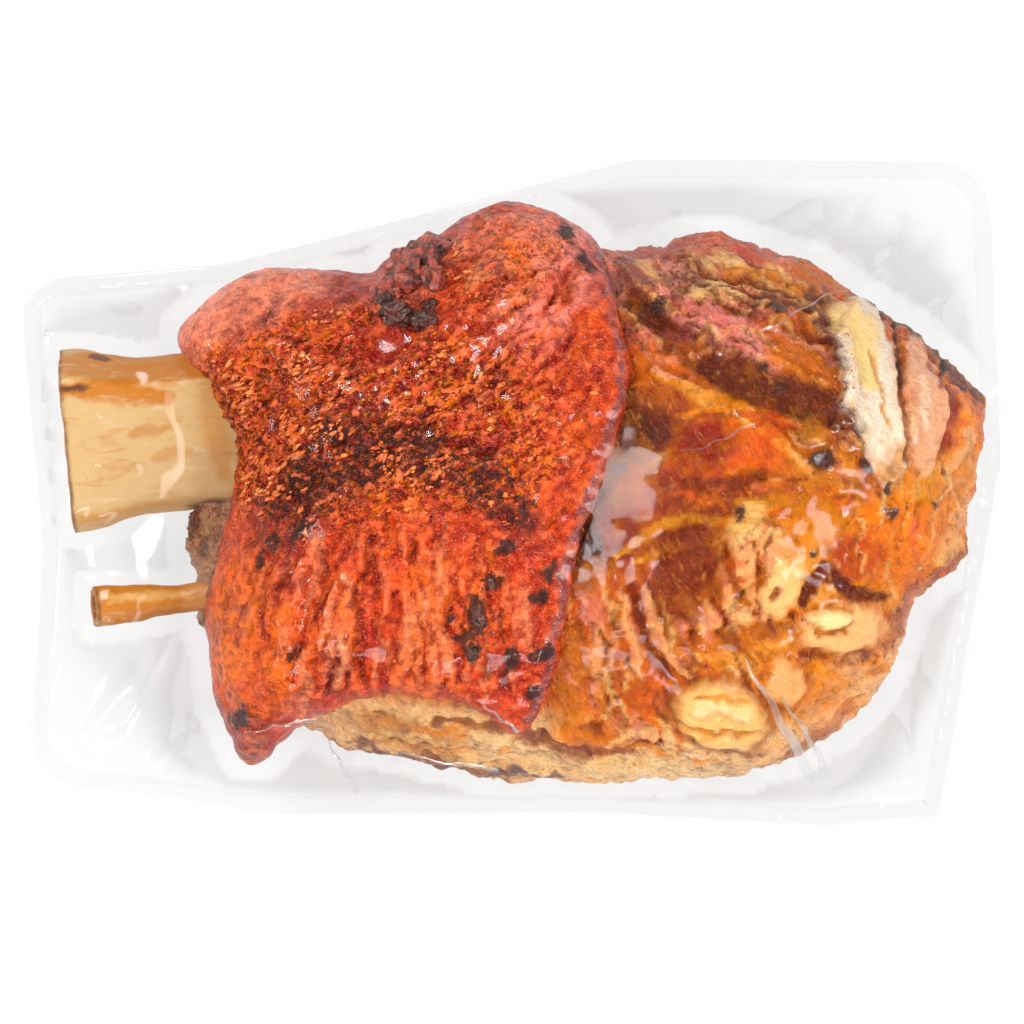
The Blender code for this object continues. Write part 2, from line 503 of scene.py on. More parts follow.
@dataclass(frozen=True)
class Placing:
    """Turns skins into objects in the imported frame."""

    middle: tuple[float, float]

    def build(self, name: str, skin: Skin, material: bpy.types.Material) -> bpy.types.Object:
        """Makes an object that rides on the frame.

        Args:
            name: the piece's name.
            skin: its surface.
            material: its finish.

        Returns:
            The new object.
        """
        mesh = bpy.data.meshes.new(name)
        points = (skin.points - np.array([*self.middle, 0])) * MM
        size = skin.faces.shape[1]
        mesh.vertices.add(len(points))
        mesh.vertices.foreach_set("co", points.astype(np.float32).ravel())
        mesh.loops.add(skin.faces.size)
        mesh.loops.foreach_set("vertex_index", skin.faces.astype(np.int32).ravel())
        mesh.polygons.add(len(skin.faces))
        mesh.polygons.foreach_set("loop_start", np.arange(0, skin.faces.size, size, dtype=np.int32))
        mesh.update(calc_edges=True)
        mesh.validate()
        mesh.shade_smooth()
        for layer, values in skin.layers.items():
            if values.ndim == 2:
                kept = mesh.attributes.new(layer, "FLOAT_COLOR", "POINT")
                shades = np.concatenate([values, np.ones((len(values), 1))], axis=1)
                kept.data.foreach_set("color", shades.astype(np.float32).ravel())
            else:
                kept = mesh.attributes.new(layer, "FLOAT", "POINT")
                kept.data.foreach_set("value", values.astype(np.float32))
        mesh.materials.append(material)
        piece = bpy.data.objects.new(name, mesh)
        bpy.context.scene.collection.objects.link(piece)
        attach(piece, BODY)
        triangles = len(skin.faces) * (size - 2)
        LOG.info("%s: %d triangles", name, triangles)
        return piece


# Shader building


class Finish(Enum):
    """The finishes, each with its material's name."""

    SKIN = "roasted_skin"
    MEAT = "glazed_meat"
    BONE = "sawn_bone"
    MARROW = "roasted_marrow"
    CHAR = "charred_crust"
    CRUMB = "skin_crumbs"
    KNOB = "blistered_knob"
    UPPER_FILM = "clear_film"
    LOWER_FILM = "clear_film_below"
    PLEAT = "doubled_film"
    BAND = "welded_film"
    TABLE = "white_table"


class Number:
    """A number that a shader works out. Arithmetic on it adds Math nodes."""

    def __init__(self, shader: "Shader", socket: bpy.types.NodeSocket) -> None:
        """Wraps a socket of a shader."""
        self.shader = shader
        self.socket = socket

    def _math(self, operation: str, first: "Number | float", second: "Number | float") -> "Number":
        """Adds one Math node for two terms."""
        node = self.shader.node("ShaderNodeMath", {"operation": operation}, {0: first, 1: second})
        return Number(self.shader, node.outputs[0])

    def __add__(self, other: "Number | float") -> "Number":
        """Adds."""
        return self._math("ADD", self, other)

    def __radd__(self, other: float) -> "Number":
        """Adds to a plain number."""
        return self._math("ADD", other, self)

    def __sub__(self, other: "Number | float") -> "Number":
        """Subtracts."""
        return self._math("SUBTRACT", self, other)

    def __rsub__(self, other: float) -> "Number":
        """Subtracts from a plain number."""
        return self._math("SUBTRACT", other, self)

    def __mul__(self, other: "Number | float") -> "Number":
        """Multiplies."""
        return self._math("MULTIPLY", self, other)

    def __rmul__(self, other: float) -> "Number":
        """Multiplies a plain number."""
        return self._math("MULTIPLY", other, self)

    def __pow__(self, other: float) -> "Number":
        """Raises to a power."""
        return self._math("POWER", self, other)

    def rise(self, low: float, high: float) -> "Number":
        """Rises smoothly from 0 where this is low to 1 where it is high.

        Args:
            low: where the rise starts.
            high: where it ends, which may be below low for a fall.

        Returns:
            A share from 0 to 1.
        """
        node = self.shader.node(
            "ShaderNodeMapRange",
            {"interpolation_type": "SMOOTHSTEP", "clamp": True},
            {"Value": self, "From Min": low, "From Max": high, "To Min": 0.0, "To Max": 1.0},
        )
        return Number(self.shader, node.outputs[0])


class Shader:
    """A material under construction."""

    def __init__(self, kind: Finish) -> None:
        """Makes an empty node material.

        Args:
            kind: the finish that it is for.
        """
        self.material = bpy.data.materials.new(kind.value)
        self.material.use_nodes = True
        self.tree = self.material.node_tree
        self.tree.nodes.clear()
        self.output = self.tree.nodes.new("ShaderNodeOutputMaterial")
        self.place = Number(self, self.node("ShaderNodeTexCoord").outputs["Object"])

    def node(self, kind: str, settings: dict | None = None, inputs: dict | None = None) -> bpy.types.Node:
        """Adds a node.

        Args:
            kind: the node's type.
            settings: its properties, which are set first.
            inputs: values or links of its sockets, by name or number.

        Returns:
            The node.
        """
        node = self.tree.nodes.new(kind)
        for name, value in (settings or {}).items():
            setattr(node, name, value)
        for key, value in (inputs or {}).items():
            if isinstance(value, Number):
                self.tree.links.new(value.socket, node.inputs[key])
            elif isinstance(value, bpy.types.NodeSocket):
                self.tree.links.new(value, node.inputs[key])
            elif isinstance(value, tuple) and len(value) == 3 and node.inputs[key].type == "RGBA":
                node.inputs[key].default_value = (*value, 1)
            else:
                node.inputs[key].default_value = value
        return node

    def layer(self, name: str) -> Number:
        """Reads a painted layer of numbers from the mesh."""
        return Number(self, self.node("ShaderNodeAttribute", {"attribute_name": name}).outputs["Fac"])

    def paint(self, name: str) -> bpy.types.NodeSocket:
        """Reads a painted layer of colours from the mesh."""
        return self.node("ShaderNodeAttribute", {"attribute_name": name}).outputs["Color"]

    def turned(self, scale: tuple[float, float, float], angle: float) -> Number:
        """Returns the object's coordinates turned about Z by degrees, then stretched.

        Args:
            scale: how much each direction is stretched.
            angle: the turn, in degrees.

        Returns:
            The coordinates.
        """
        inputs = {"Vector": self.place, "Rotation": (0, 0, math.radians(angle))}
        spun = self.node("ShaderNodeMapping", {"vector_type": "POINT"}, inputs)
        stretched = self.node(
            "ShaderNodeVectorMath", {"operation": "MULTIPLY"}, {0: spun.outputs[0], 1: scale}
        )
        return Number(self, stretched.outputs[0])

    def noise(
        self, size: float, detail: float = 3.0, rough: float = 0.55, wobble: float = 0.0,
        where: Number | None = None,
    ) -> Number:
        """Adds noise.

        Args:
            size: size of its lumps, in millimetres.
            detail: how many finer layers it has.
            rough: strength of the finer layers.
            wobble: how much it is twisted.
            where: the coordinates, or none for the object's own.

        Returns:
            The noise, from 0 to 1.
        """
        inputs = {
            "Vector": where or self.place,
            "Scale": 1 / (size * MM),
            "Detail": detail,
            "Roughness": rough,
            "Distortion": wobble,
        }
        return Number(self, self.node("ShaderNodeTexNoise", None, inputs).outputs[0])

    def cells(self, size: float, where: Number | None = None) -> Number:
        """Adds a pattern of cells.

        Args:
            size: size of a cell, in millimetres.
            where: the coordinates, or none for the object's own.

        Returns:
            The distance to the cell's middle, in cells.
        """
        inputs = {"Vector": where or self.place, "Scale": 1 / (size * MM)}
        node = self.node("ShaderNodeTexVoronoi", None, inputs)
        return Number(self, node.outputs["Distance"])

    def blend(self, share: Number | float, first: object, second: object) -> bpy.types.NodeSocket:
        """Mixes two colours.

        Args:
            share: how much of the second.
            first: a colour or a socket.
            second: a colour or a socket.

        Returns:
            The mixed colour's socket.
        """
        node = self.node("ShaderNodeMix", {"data_type": "RGBA", "blend_type": "MIX", "clamp_factor": True})
        for key, value in ((0, share), (6, first), (7, second)):
            if isinstance(value, Number):
                self.tree.links.new(value.socket, node.inputs[key])
            elif isinstance(value, bpy.types.NodeSocket):
                self.tree.links.new(value, node.inputs[key])
            else:
                node.inputs[key].default_value = value if key == 0 else (*value, 1)
        return node.outputs[2]

    def vivid(self, tone: object, strength: float, value: float) -> bpy.types.NodeSocket:
        """Strengthens a colour.

        Args:
            tone: the colour's socket.
            strength: its new saturation against the old.
            value: its new brightness against the old.

        Returns:
            The stronger colour's socket.
        """
        inputs = {"Saturation": strength, "Value": value, "Color": tone}
        return self.node("ShaderNodeHueSaturation", None, inputs).outputs[0]

    def bump(self, height: Number, depth: float, strength: float = 1.0) -> bpy.types.NodeSocket:
        """Adds relief.

        Args:
            height: the relief, where 1 is one depth high.
            depth: the depth, in millimetres.
            strength: how much of it shows.

        Returns:
            The normal's socket.
        """
        inputs = {"Height": height, "Distance": depth * MM, "Strength": strength}
        return self.node("ShaderNodeBump", None, inputs).outputs[0]

    def finish(self, inputs: dict) -> bpy.types.Material:
        """Ends the material in one Principled shader.

        Args:
            inputs: values or links of its sockets.

        Returns:
            The material.
        """
        shader = self.node("ShaderNodeBsdfPrincipled", None, inputs)
        self.tree.links.new(shader.outputs[0], self.output.inputs[0])
        return self.material


@dataclass(frozen=True)
class SkinFinish:
    """Browned pork skin: blistered, oily, with raised golden crumbs and charred specks."""

    gold: Paint = (236, 128, 60)
    brown: Paint = (88, 26, 20)
    black: Paint = (44, 22, 18)
    crumb_size: float = 1.7
    gloss: float = 0.2

    def material(self) -> bpy.types.Material:
        """Builds the material.

        Returns:
            The material.
        """
        s = Shader(Finish.SKIN)
        crumbs, char = s.layer("crumbs"), s.layer("char")
        rows = s.turned((0.55, 1.35, 1.0), -33)
        wander = s.noise(1.5, 1, 0.7, 0.0, rows)
        lump = s.cells(self.crumb_size, rows).rise(0.6, 0.1) * wander.rise(0.4, 0.64)
        grain = s.noise(0.6, 1, 0.7)
        mottle = s.noise(2.4, 3, 0.7)
        plain = 1 - char.rise(0.1, 0.5) * 0.8
        tone = s.blend(mottle.rise(0.46, 0.66) * 0.58, s.paint("tone"), srgb((116, 20, 14)))
        tone = s.blend(mottle.rise(0.5, 0.34) * 0.5 * plain, tone, srgb((248, 122, 84)))
        # painted highlights: pale pink specks on the raised grain stand in for glints
        tone = s.blend(grain.rise(0.56, 0.7) * 0.35 * plain, tone, srgb((250, 160, 130)))
        pits = s.noise(1.4, 2, 0.76).rise(0.51, 0.62) * (crumbs * 0.8 + 0.28)
        tone = s.blend(pits * 0.8, tone, srgb(self.brown))
        tone = s.blend(lump * crumbs.rise(0.12, 0.8) * 0.8, tone, srgb(self.gold))
        scorch = (char + (s.noise(1.5, 3, 0.78) - 0.5) * 1.9).rise(0.42, 0.66)
        tone = s.vivid(s.blend(scorch * 0.88, tone, srgb(self.black)), 1.06, 1.12)
        relief = lump * crumbs * 0.9 + grain * 0.5 - pits * 0.5
        return s.finish(
            {
                "Base Color": tone,
                "Roughness": self.gloss + 0.2 * crumbs * grain + scorch * 0.25,
                "Normal": s.bump(relief, 1.1, 1.0),
                "Specular IOR Level": 0.26,
            }
        )


@dataclass(frozen=True)
class MeatFinish:
    """Glazed roast meat: fibres with painted highlights, sticky dark juice in patches, fat and tendon where
    painted.
    """

    juice: Paint = (104, 30, 8)
    gloss: float = 0.11

    def material(self) -> bpy.types.Material:
        """Builds the material.

        Returns:
            The material.
        """
        s = Shader(Finish.MEAT)
        fat, rough, char = s.layer("fat"), s.layer("rough"), s.layer("char")
        fibre = s.noise(1.5, 3, 0.7, 1.4, s.turned((0.4, 1.5, 1.0), 58))
        mottle = s.noise(3.0, 3, 0.74)
        grain = s.noise(0.6, 1, 0.7)
        plain = 1 - char.rise(0.1, 0.5) * 0.7
        lean = 1 - fat.rise(0.2, 0.8) * 0.85
        tone = s.blend(mottle.rise(0.52, 0.68) * lean * 0.45, s.paint("tone"), srgb(self.juice))
        # painted highlights: pale streaks along the raised fibres
        tone = s.blend(fibre.rise(0.55, 0.7) * lean * 0.36 * plain, tone, srgb((250, 178, 112)))
        tone = s.blend(mottle.rise(0.44, 0.32) * lean * 0.2 * plain, tone, srgb((230, 96, 24)))
        tone = s.blend(mottle.rise(0.54, 0.7) * fat * 0.35, tone, srgb((222, 140, 58)))
        tone = s.blend(fibre.rise(0.6, 0.72) * fat * 0.25, tone, srgb((255, 238, 204)))
        specks = s.cells(1.5).rise(0.46, 0.14) * s.noise(3.0, 2).rise(0.46, 0.58) * rough
        tone = s.blend(specks * 0.6, tone, srgb((66, 26, 24)))
        scorch = (char + (s.noise(1.8, 3, 0.74) - 0.5) * 1.6).rise(0.46, 0.7)
        tone = s.vivid(s.blend(scorch * 0.9, tone, srgb((56, 28, 22))), 1.12, 1.14)
        relief = fibre * (0.25 + 0.6 * lean) + mottle * 0.8 + grain * (0.3 + 0.3 * rough)
        return s.finish(
            {
                "Base Color": tone,
                "Roughness": self.gloss + 0.2 * rough * grain + scorch * 0.2,
                "Normal": s.bump(relief, 1.35, 1.0),
                "Specular IOR Level": 0.44,
            }
        )


@dataclass(frozen=True)
class BoneFinish:
    """Sawn roast bone: ivory, greasy, stained where fat has run and browned."""

    stain: Paint = (196, 118, 52)

    def material(self) -> bpy.types.Material:
        """Builds the material.

        Returns:
            The material.
        """
        s = Shader(Finish.BONE)
        along = s.noise(3.2, 5, 0.6, 0.6, s.turned((0.35, 1.2, 1.2), -3))
        pores = s.noise(0.5, 3, 0.5)
        tone = s.blend(along.rise(0.52, 0.75) * 0.4, s.paint("tone"), srgb(self.stain))
        tone = s.blend(along.rise(0.45, 0.25) * 0.5, tone, srgb((240, 220, 180)))
        tone = s.blend(pores.rise(0.62, 0.72) * 0.25, tone, srgb((176, 120, 66)))
        tone = s.vivid(tone, 1.14, 0.78)
        return s.finish(
            {
                "Base Color": tone,
                "Roughness": 0.36 + 0.2 * pores,
                "Normal": s.bump(along * 0.6 + pores * 0.3, 0.35, 0.7),
            }
        )


@dataclass(frozen=True)
class CrustFinish:
    """A rough, dry finish for char, crumbs, marrow and the blistered knob."""

    kind: Finish
    light: Paint
    dark: Paint
    size: float
    rough: float
    depth: float

    def material(self) -> bpy.types.Material:
        """Builds the material.

        Returns:
            The material.
        """
        s = Shader(self.kind)
        lumps = s.noise(self.size, 5, 0.65, 0.5)
        blister = s.cells(self.size * 0.8)
        tone = s.blend(lumps.rise(0.36, 0.66), srgb(self.dark), srgb(self.light))
        return s.finish(
            {
                "Base Color": tone,
                "Roughness": self.rough - 0.15 * lumps,
                "Normal": s.bump(lumps + blister * 0.4, self.depth, 0.9),
            }
        )


@dataclass(frozen=True)
class FilmFinish:
    """Clear film: it lets light through, greys it a little on a slant, and mirrors the lamps."""

    kind: Finish
    clear: float = 0.935
    slant: float = 0.78
    mirror: float = 0.5
    rough: float = 0.08
    sheen: float = 0.009

    def material(self) -> bpy.types.Material:
        """Builds the material.

        Returns:
            The material.
        """
        s = Shader(self.kind)
        free = s.layer("free")
        weight = s.node("ShaderNodeLayerWeight", None, {"Blend": self.mirror})
        facing = Number(s, weight.outputs["Facing"])
        gleam = self.sheen + 0.05 * facing**2.5 + free * (0.022 + 0.14 * facing)
        flat = s.node("ShaderNodeBsdfTransparent", None, {0: (self.clear,) * 3})
        steep = s.node("ShaderNodeBsdfTransparent", None, {0: (self.slant,) * 3})
        slanted = facing.rise(0.0, 0.34) * (0.12 + 0.88 * free)
        body = s.node("ShaderNodeMixShader", None, {0: slanted, 1: flat.outputs[0], 2: steep.outputs[0]})
        gloss = s.node(
            "ShaderNodeBsdfGlossy", None, {"Color": (1.0, 1.0, 1.0), "Roughness": self.rough}
        )
        whole = s.node(
            "ShaderNodeMixShader", None, {0: gleam, 1: body.outputs[0], 2: gloss.outputs[0]}
        )
        s.tree.links.new(whole.outputs[0], s.output.inputs[0])
        return s.material


# Features painted and pressed into the surfaces


@dataclass(frozen=True)
class Feature:
    """Something on a surface: a strip along a path or, with one point, an oval patch.

    Its colour is laid over what is there, its relief raises or sinks the surface, and its fat, rough
    and char shares change the finish.
    """

    name: str
    path: tuple[Point, ...]
    width: float
    colour: Paint | None = None
    strength: float = 1.0
    relief: float = 0.0
    length: float = 0.0
    angle: float = 0.0
    soft: float = 1.0
    fat: float | None = None
    rough: float | None = None
    char: float = 0.0

    def mask(self, places: Array) -> Array:
        """Measures how much of the feature is at each place.

        Args:
            places: rows of x and y in millimetres.

        Returns:
            A share from 0 to 1.
        """
        reach = 1.6 * max(self.width, self.length) + 0.5
        low, high = np.min(self.path, axis=0) - reach, np.max(self.path, axis=0) + reach
        near = ((places > low) & (places < high)).all(axis=1)
        share = np.zeros(len(places))
        share[near] = self._share(places[near])
        return share

    def _share(self, places: Array) -> Array:
        """Measures how much of the feature is at each place, all of them near it.

        Args:
            places: rows of x and y in millimetres.

        Returns:
            A share from 0 to 1.
        """
        if len(self.path) == 1:
            turn = math.radians(self.angle)
            offset = places - np.array(self.path[0])
            along = offset[:, 0] * math.cos(turn) + offset[:, 1] * math.sin(turn)
            across = offset[:, 1] * math.cos(turn) - offset[:, 0] * math.sin(turn)
            far = np.hypot(along / (self.length or self.width), across / self.width)
        else:
            gap, share = distance_to_path(places, self.path)
            taper = 0.55 + 0.45 * np.sin(np.pi * np.clip(share, 0.02, 0.98))
            far = gap / (self.width * taper)
        return smooth_step(far, 1 + 0.4 * self.soft, 1 - 0.4 * self.soft)


def strokes(
    seed: int, count: int, middle: Point, reach: Point, angle: tuple[float, float], paints: Sequence[Paint],
    relief: float, length: tuple[float, float] = (3.0, 11.0), width: tuple[float, float] = (0.45, 0.85),
) -> tuple[Feature, ...]:
    """Scatters short creases or fibres over an oval field.

    Args:
        seed: which scatter.
        count: how many.
        middle: the middle of the field.
        reach: the half sizes of the field.
        angle: the direction that they run in at the left and at the right of the field, in degrees.
        paints: the colours that they take in turn.
        relief: how far they rise, negative for creases.
        length: the least and the greatest length.
        width: the least and the greatest half width.

    Returns:
        One feature for each stroke.
    """
    chance = np.random.default_rng(seed)
    made = []
    for k in range(count):
        far, spin = math.sqrt(chance.random()), chance.uniform(0, 2 * math.pi)
        x, y = middle[0] + reach[0] * far * math.cos(spin), middle[1] + reach[1] * far * math.sin(spin)
        share = 0.5 + 0.5 * far * math.cos(spin)
        turn = math.radians(angle[0] + (angle[1] - angle[0]) * share + 9 * chance.normal())
        half = chance.uniform(*length) / 2
        sag = 0.18 * half * chance.normal()
        dx, dy = math.cos(turn), math.sin(turn)
        path = ((x - half * dx, y - half * dy), (x - sag * dy, y + sag * dx), (x + half * dx, y + half * dy))
        wide, paint, strength = chance.uniform(*width), paints[k % len(paints)], chance.uniform(0.45, 0.85)
        made.append(Feature("stroke", path, wide, paint, strength, relief * chance.uniform(0.5, 1.0), soft=1.2))
    return tuple(made)


@dataclass
class Surface:
    """The paint of a piece: a base tone with features laid over it."""

    base: Paint
    features: tuple[Feature, ...]
    ragged: float = 1.1

    def paint(self, skin: Skin, shown: Array) -> None:
        """Lays every feature on a skin as colour and as finish.

        Args:
            skin: the surface, which gains the layers tone, fat, rough and char.
            shown: how much the features show at each point, from 0 to 1.
        """
        places = spread(skin.points, self.ragged, 4.5)
        places += 0.45 * spread(skin.points, 1.0, 1.6) - 0.45 * skin.points[:, :2]
        tone = np.tile(np.array(srgb(self.base)), (len(skin.points), 1))
        layers = {name: np.zeros(len(skin.points)) for name in ("fat", "rough", "char")}
        layers["rough"] += 0.4
        for feature in self.features:
            mask = feature.mask(places) * shown
            if feature.colour:
                share = (mask * feature.strength)[:, None]
                tone = tone * (1 - share) + np.array(srgb(feature.colour)) * share
            for name in ("fat", "rough"):
                wanted = getattr(feature, name)
                if wanted is not None:
                    layers[name] = layers[name] * (1 - mask) + wanted * mask
            layers["char"] = np.maximum(layers["char"], feature.char * mask)
        skin.layers.update(layers, tone=tone)

    def relief(self, skin: Skin, shown: Array) -> Array:
        """Adds up the height of the features at each point.

        Args:
            skin: the surface.
            shown: how much the features show at each point.

        Returns:
            The height in millimetres.
        """
        places = spread(skin.points, self.ragged * 0.6, 4.5)
        total = np.zeros(len(skin.points))
        for feature in dict.fromkeys(self.features):
            if feature.relief:
                firm = 1 - skin.layers["fat"] if feature.name == "stroke" and "fat" in skin.layers else 1
                total += 1.15 * feature.relief * feature.mask(places) * shown * firm
        return total


# Features of the skin, each laid over the ones before it
CAP_FEATURES: tuple[Feature, ...] = (
    Feature("lower half", ((-24, -26),), 18, (216, 72, 36), 0.85, length=40, soft=1.2),
    # the pale coral of the left shoulder is partly the skin's colour and partly a painted highlight on this
    # high place
    Feature("left shoulder", ((-64, 28), (-55, 38.5), (-40, 42.5)), 7.5, (250, 148, 116), 0.95, soft=1.1),
    Feature("left flank", ((-57, 20), (-52, 4), (-56, -12)), 6, (206, 80, 48), 0.6),
    Feature("orange foot", ((-52, -28),), 9, (236, 120, 46), 0.85, length=15, angle=96, soft=1.1),
    Feature("pale fan", ((-16, -28),), 8, (240, 134, 84), 0.75, length=13, angle=70, soft=1.3),
    # the pale fold is partly the skin's colour and partly a painted highlight along its raised crest
    Feature("pale fold", ((-32.5, -18), (-34.5, -36)), 3.4, (250, 172, 124), 0.85, 0.9, soft=1.1),
    Feature("red fold", ((-27, -10), (-28.6, -36)), 2.4, (170, 20, 8), 0.95, -1.7),
    Feature("red fold", ((-22, -20), (-25, -39)), 1.8, (176, 26, 10), 0.9, -1.3),
    Feature("red fold", ((-37, -12), (-43, -36)), 1.8, (184, 44, 16), 0.85, -1.2),
    Feature("red fold", ((-11, -16), (-10, -37)), 1.6, (176, 36, 20), 0.85, -1.1),
    Feature("red fold", ((-4, -13), (-1, -38)), 1.8, (150, 30, 20), 0.85, -1.1),
    Feature("red hollow", ((-25, 29),), 4, (168, 24, 10), 0.9, -0.8, length=6, angle=20, soft=0.9),
    Feature("red crease", ((-24, 22), (-12, 27.5), (-4, 33)), 1.5, (164, 26, 16), 0.7, -0.7),
    Feature("red crease", ((-20, 14), (-6, 20), (4, 30)), 1.3, (168, 32, 18), 0.6, -0.6),
    # the pink crown and the crown light are partly the skin's colour and partly a painted highlight on the top
    # of the crown
    Feature("pink crown", ((7, 42),), 9, (252, 150, 136), 0.97, length=14, angle=70, soft=1.2),
    Feature("crown light", ((-6, 51), (9, 50)), 5.4, (246, 134, 104), 0.9, soft=1.2),
    Feature("orange crown", ((-2, 48), (4, 42)), 2.6, (226, 96, 20), 0.8),
    Feature("orange shoulder", ((14.5, 34), (17, 22), (15, 8)), 5.5, (206, 74, 38), 0.8),
    Feature("smooth red", ((9, 0),), 6.5, (202, 74, 44), 0.8, length=11, angle=72),
    Feature("maroon field", ((-30, 16),), 13, (150, 46, 40), 0.7, length=24, angle=30, soft=1.3),
    Feature("dark band", ((-44, -2), (-36, 4), (-28, 8.5), (-17, 9)), 8.6, (84, 30, 24), 0.85, 0.4, soft=1.5,
            char=0.54),
    Feature("dark band", ((-18, 5), (-8, 4), (0, -1), (3, -5)), 6.6, (88, 30, 24), 0.85, 0.4, soft=1.5,
            char=0.5),
    Feature("dark band", ((-34, -3), (-42, -8), (-50, -10)), 3.4, (92, 32, 26), 0.7, soft=1.5, char=0.34),
    Feature("dark band", ((-8, 16), (-2, 22)), 3.6, (104, 34, 28), 0.8, soft=1.1, char=0.3),
    Feature("dark patch", ((-57.5, 23), (-54, 12)), 3.4, (138, 52, 48), 0.7),
    Feature("dark patch", ((-42, 24), (-30, 18)), 4.6, (140, 52, 44), 0.6, soft=1.2),
    Feature("dark patch", ((-41, -13),), 4.5, (112, 48, 46), 0.7, length=7, angle=70, soft=1.1),
    Feature("maroon spot", ((-42.5, -31.5),), 2.8, (140, 58, 50), 0.75, length=4.5, angle=80),
    Feature("maroon spot", ((-50, -38.5),), 3, (166, 62, 44), 0.7, length=4),
    Feature("maroon edge", ((-60.4, -12), (-61.2, -28)), 1.3, (112, 48, 44), 0.7, soft=0.9),
    Feature("maroon tip", ((-51, -50.6),), 3.2, (112, 42, 40), 0.95, 1.2, length=3.8, angle=50, soft=0.8),
    Feature("lower streaks", ((3, -12), (1, -38)), 5, (166, 44, 34), 0.7, soft=1.1),
    Feature("knob", ((-23, 35), (-20, 42), (-17, 48)), 6, (128, 56, 54), 0.95, 2.6, soft=0.9, char=0.3),
    Feature("knob glow", ((-20.6, 44),), 2.4, (214, 70, 20), 0.8, length=2.8, soft=0.9),
    Feature("grey saddle", ((-14, 48.5), (-8, 51)), 3, (150, 88, 84), 0.6, 0.8),
)

# Fine wrinkles of the skin
RED, DARK, ORANGE, PEACH = (150, 24, 10), (96, 20, 14), (240, 112, 50), (250, 158, 112)
CAP_STROKES: tuple[Feature, ...] = (
    *strokes(3, 110, (-26, -25), (30, 17), (70, 100), (RED, ORANGE, DARK, ORANGE, RED, PEACH), -0.55, (5, 18)),
    *strokes(5, 90, (-34, 22), (26, 18), (44, 28), (DARK, ORANGE, RED), -0.5, (3, 9)),
    *strokes(7, 80, (8, 20), (12, 26), (40, 64), (RED, ORANGE, RED), -0.4, (4, 12), (0.35, 0.7)),
    *strokes(9, 30, (0, 46), (16, 9), (30, 60), (RED, PEACH), -0.4, (3, 8)),
)

# The thin grey edge where the skin is cut
CUT_PATH = (
    (17.6, 46.6), (19.6, 39), (21.4, 28), (21.6, 20), (19.2, 11), (15, -1.6), (11.2, -13.4), (9.2, -25.4),
    (7, -37.4), (3, -44.4),
)
CUT_EDGE = Feature("cut edge", CUT_PATH, 1.35, (112, 76, 80), 0.9, soft=0.8)

# Places of the charred marks on the skin, with their half widths and the turn of their long side
SKIN_CHAR: tuple[tuple[float, float, float, float, float], ...] = (
    (-3.7, -17.6, 1.5, 2, 90), (-6.2, -24, 1.9, 4.4, 88), (-7.4, -31, 1.5, 2.4, 80),
    (-10.9, -24.4, 0.9, 1, 0), (-8.6, -28.6, 1.5, 1.7, 40), (7.5, -15.6, 1.5, 2.3, 80),
    (4.9, -20.4, 1.6, 1.9, 60), (0.3, -32.4, 1.3, 2.7, 72), (6.5, -31.2, 1.7, 2.9, 40),
    (4.7, -38.8, 1.4, 1.8, 30), (-1.7, -10.2, 1.2, 2.2, 10), (-53.3, -44.4, 2, 2.4, 50),
    (-55.6, 10.6, 1.2, 1.4, 0), (-46.2, -9, 1.2, 2.4, 60), (-49, -13, 0.9, 2, 70),
    (-40, -7.5, 1.6, 2.6, 30), (-15.5, 48.4, 1.1, 1.6, 30), (11.4, 51, 1, 3, 122),
    (14.8, 45.4, 0.9, 2.6, 112), (-35.6, 12.8, 1.4, 2, 40), (-43, -32, 1, 2.2, 80),
)

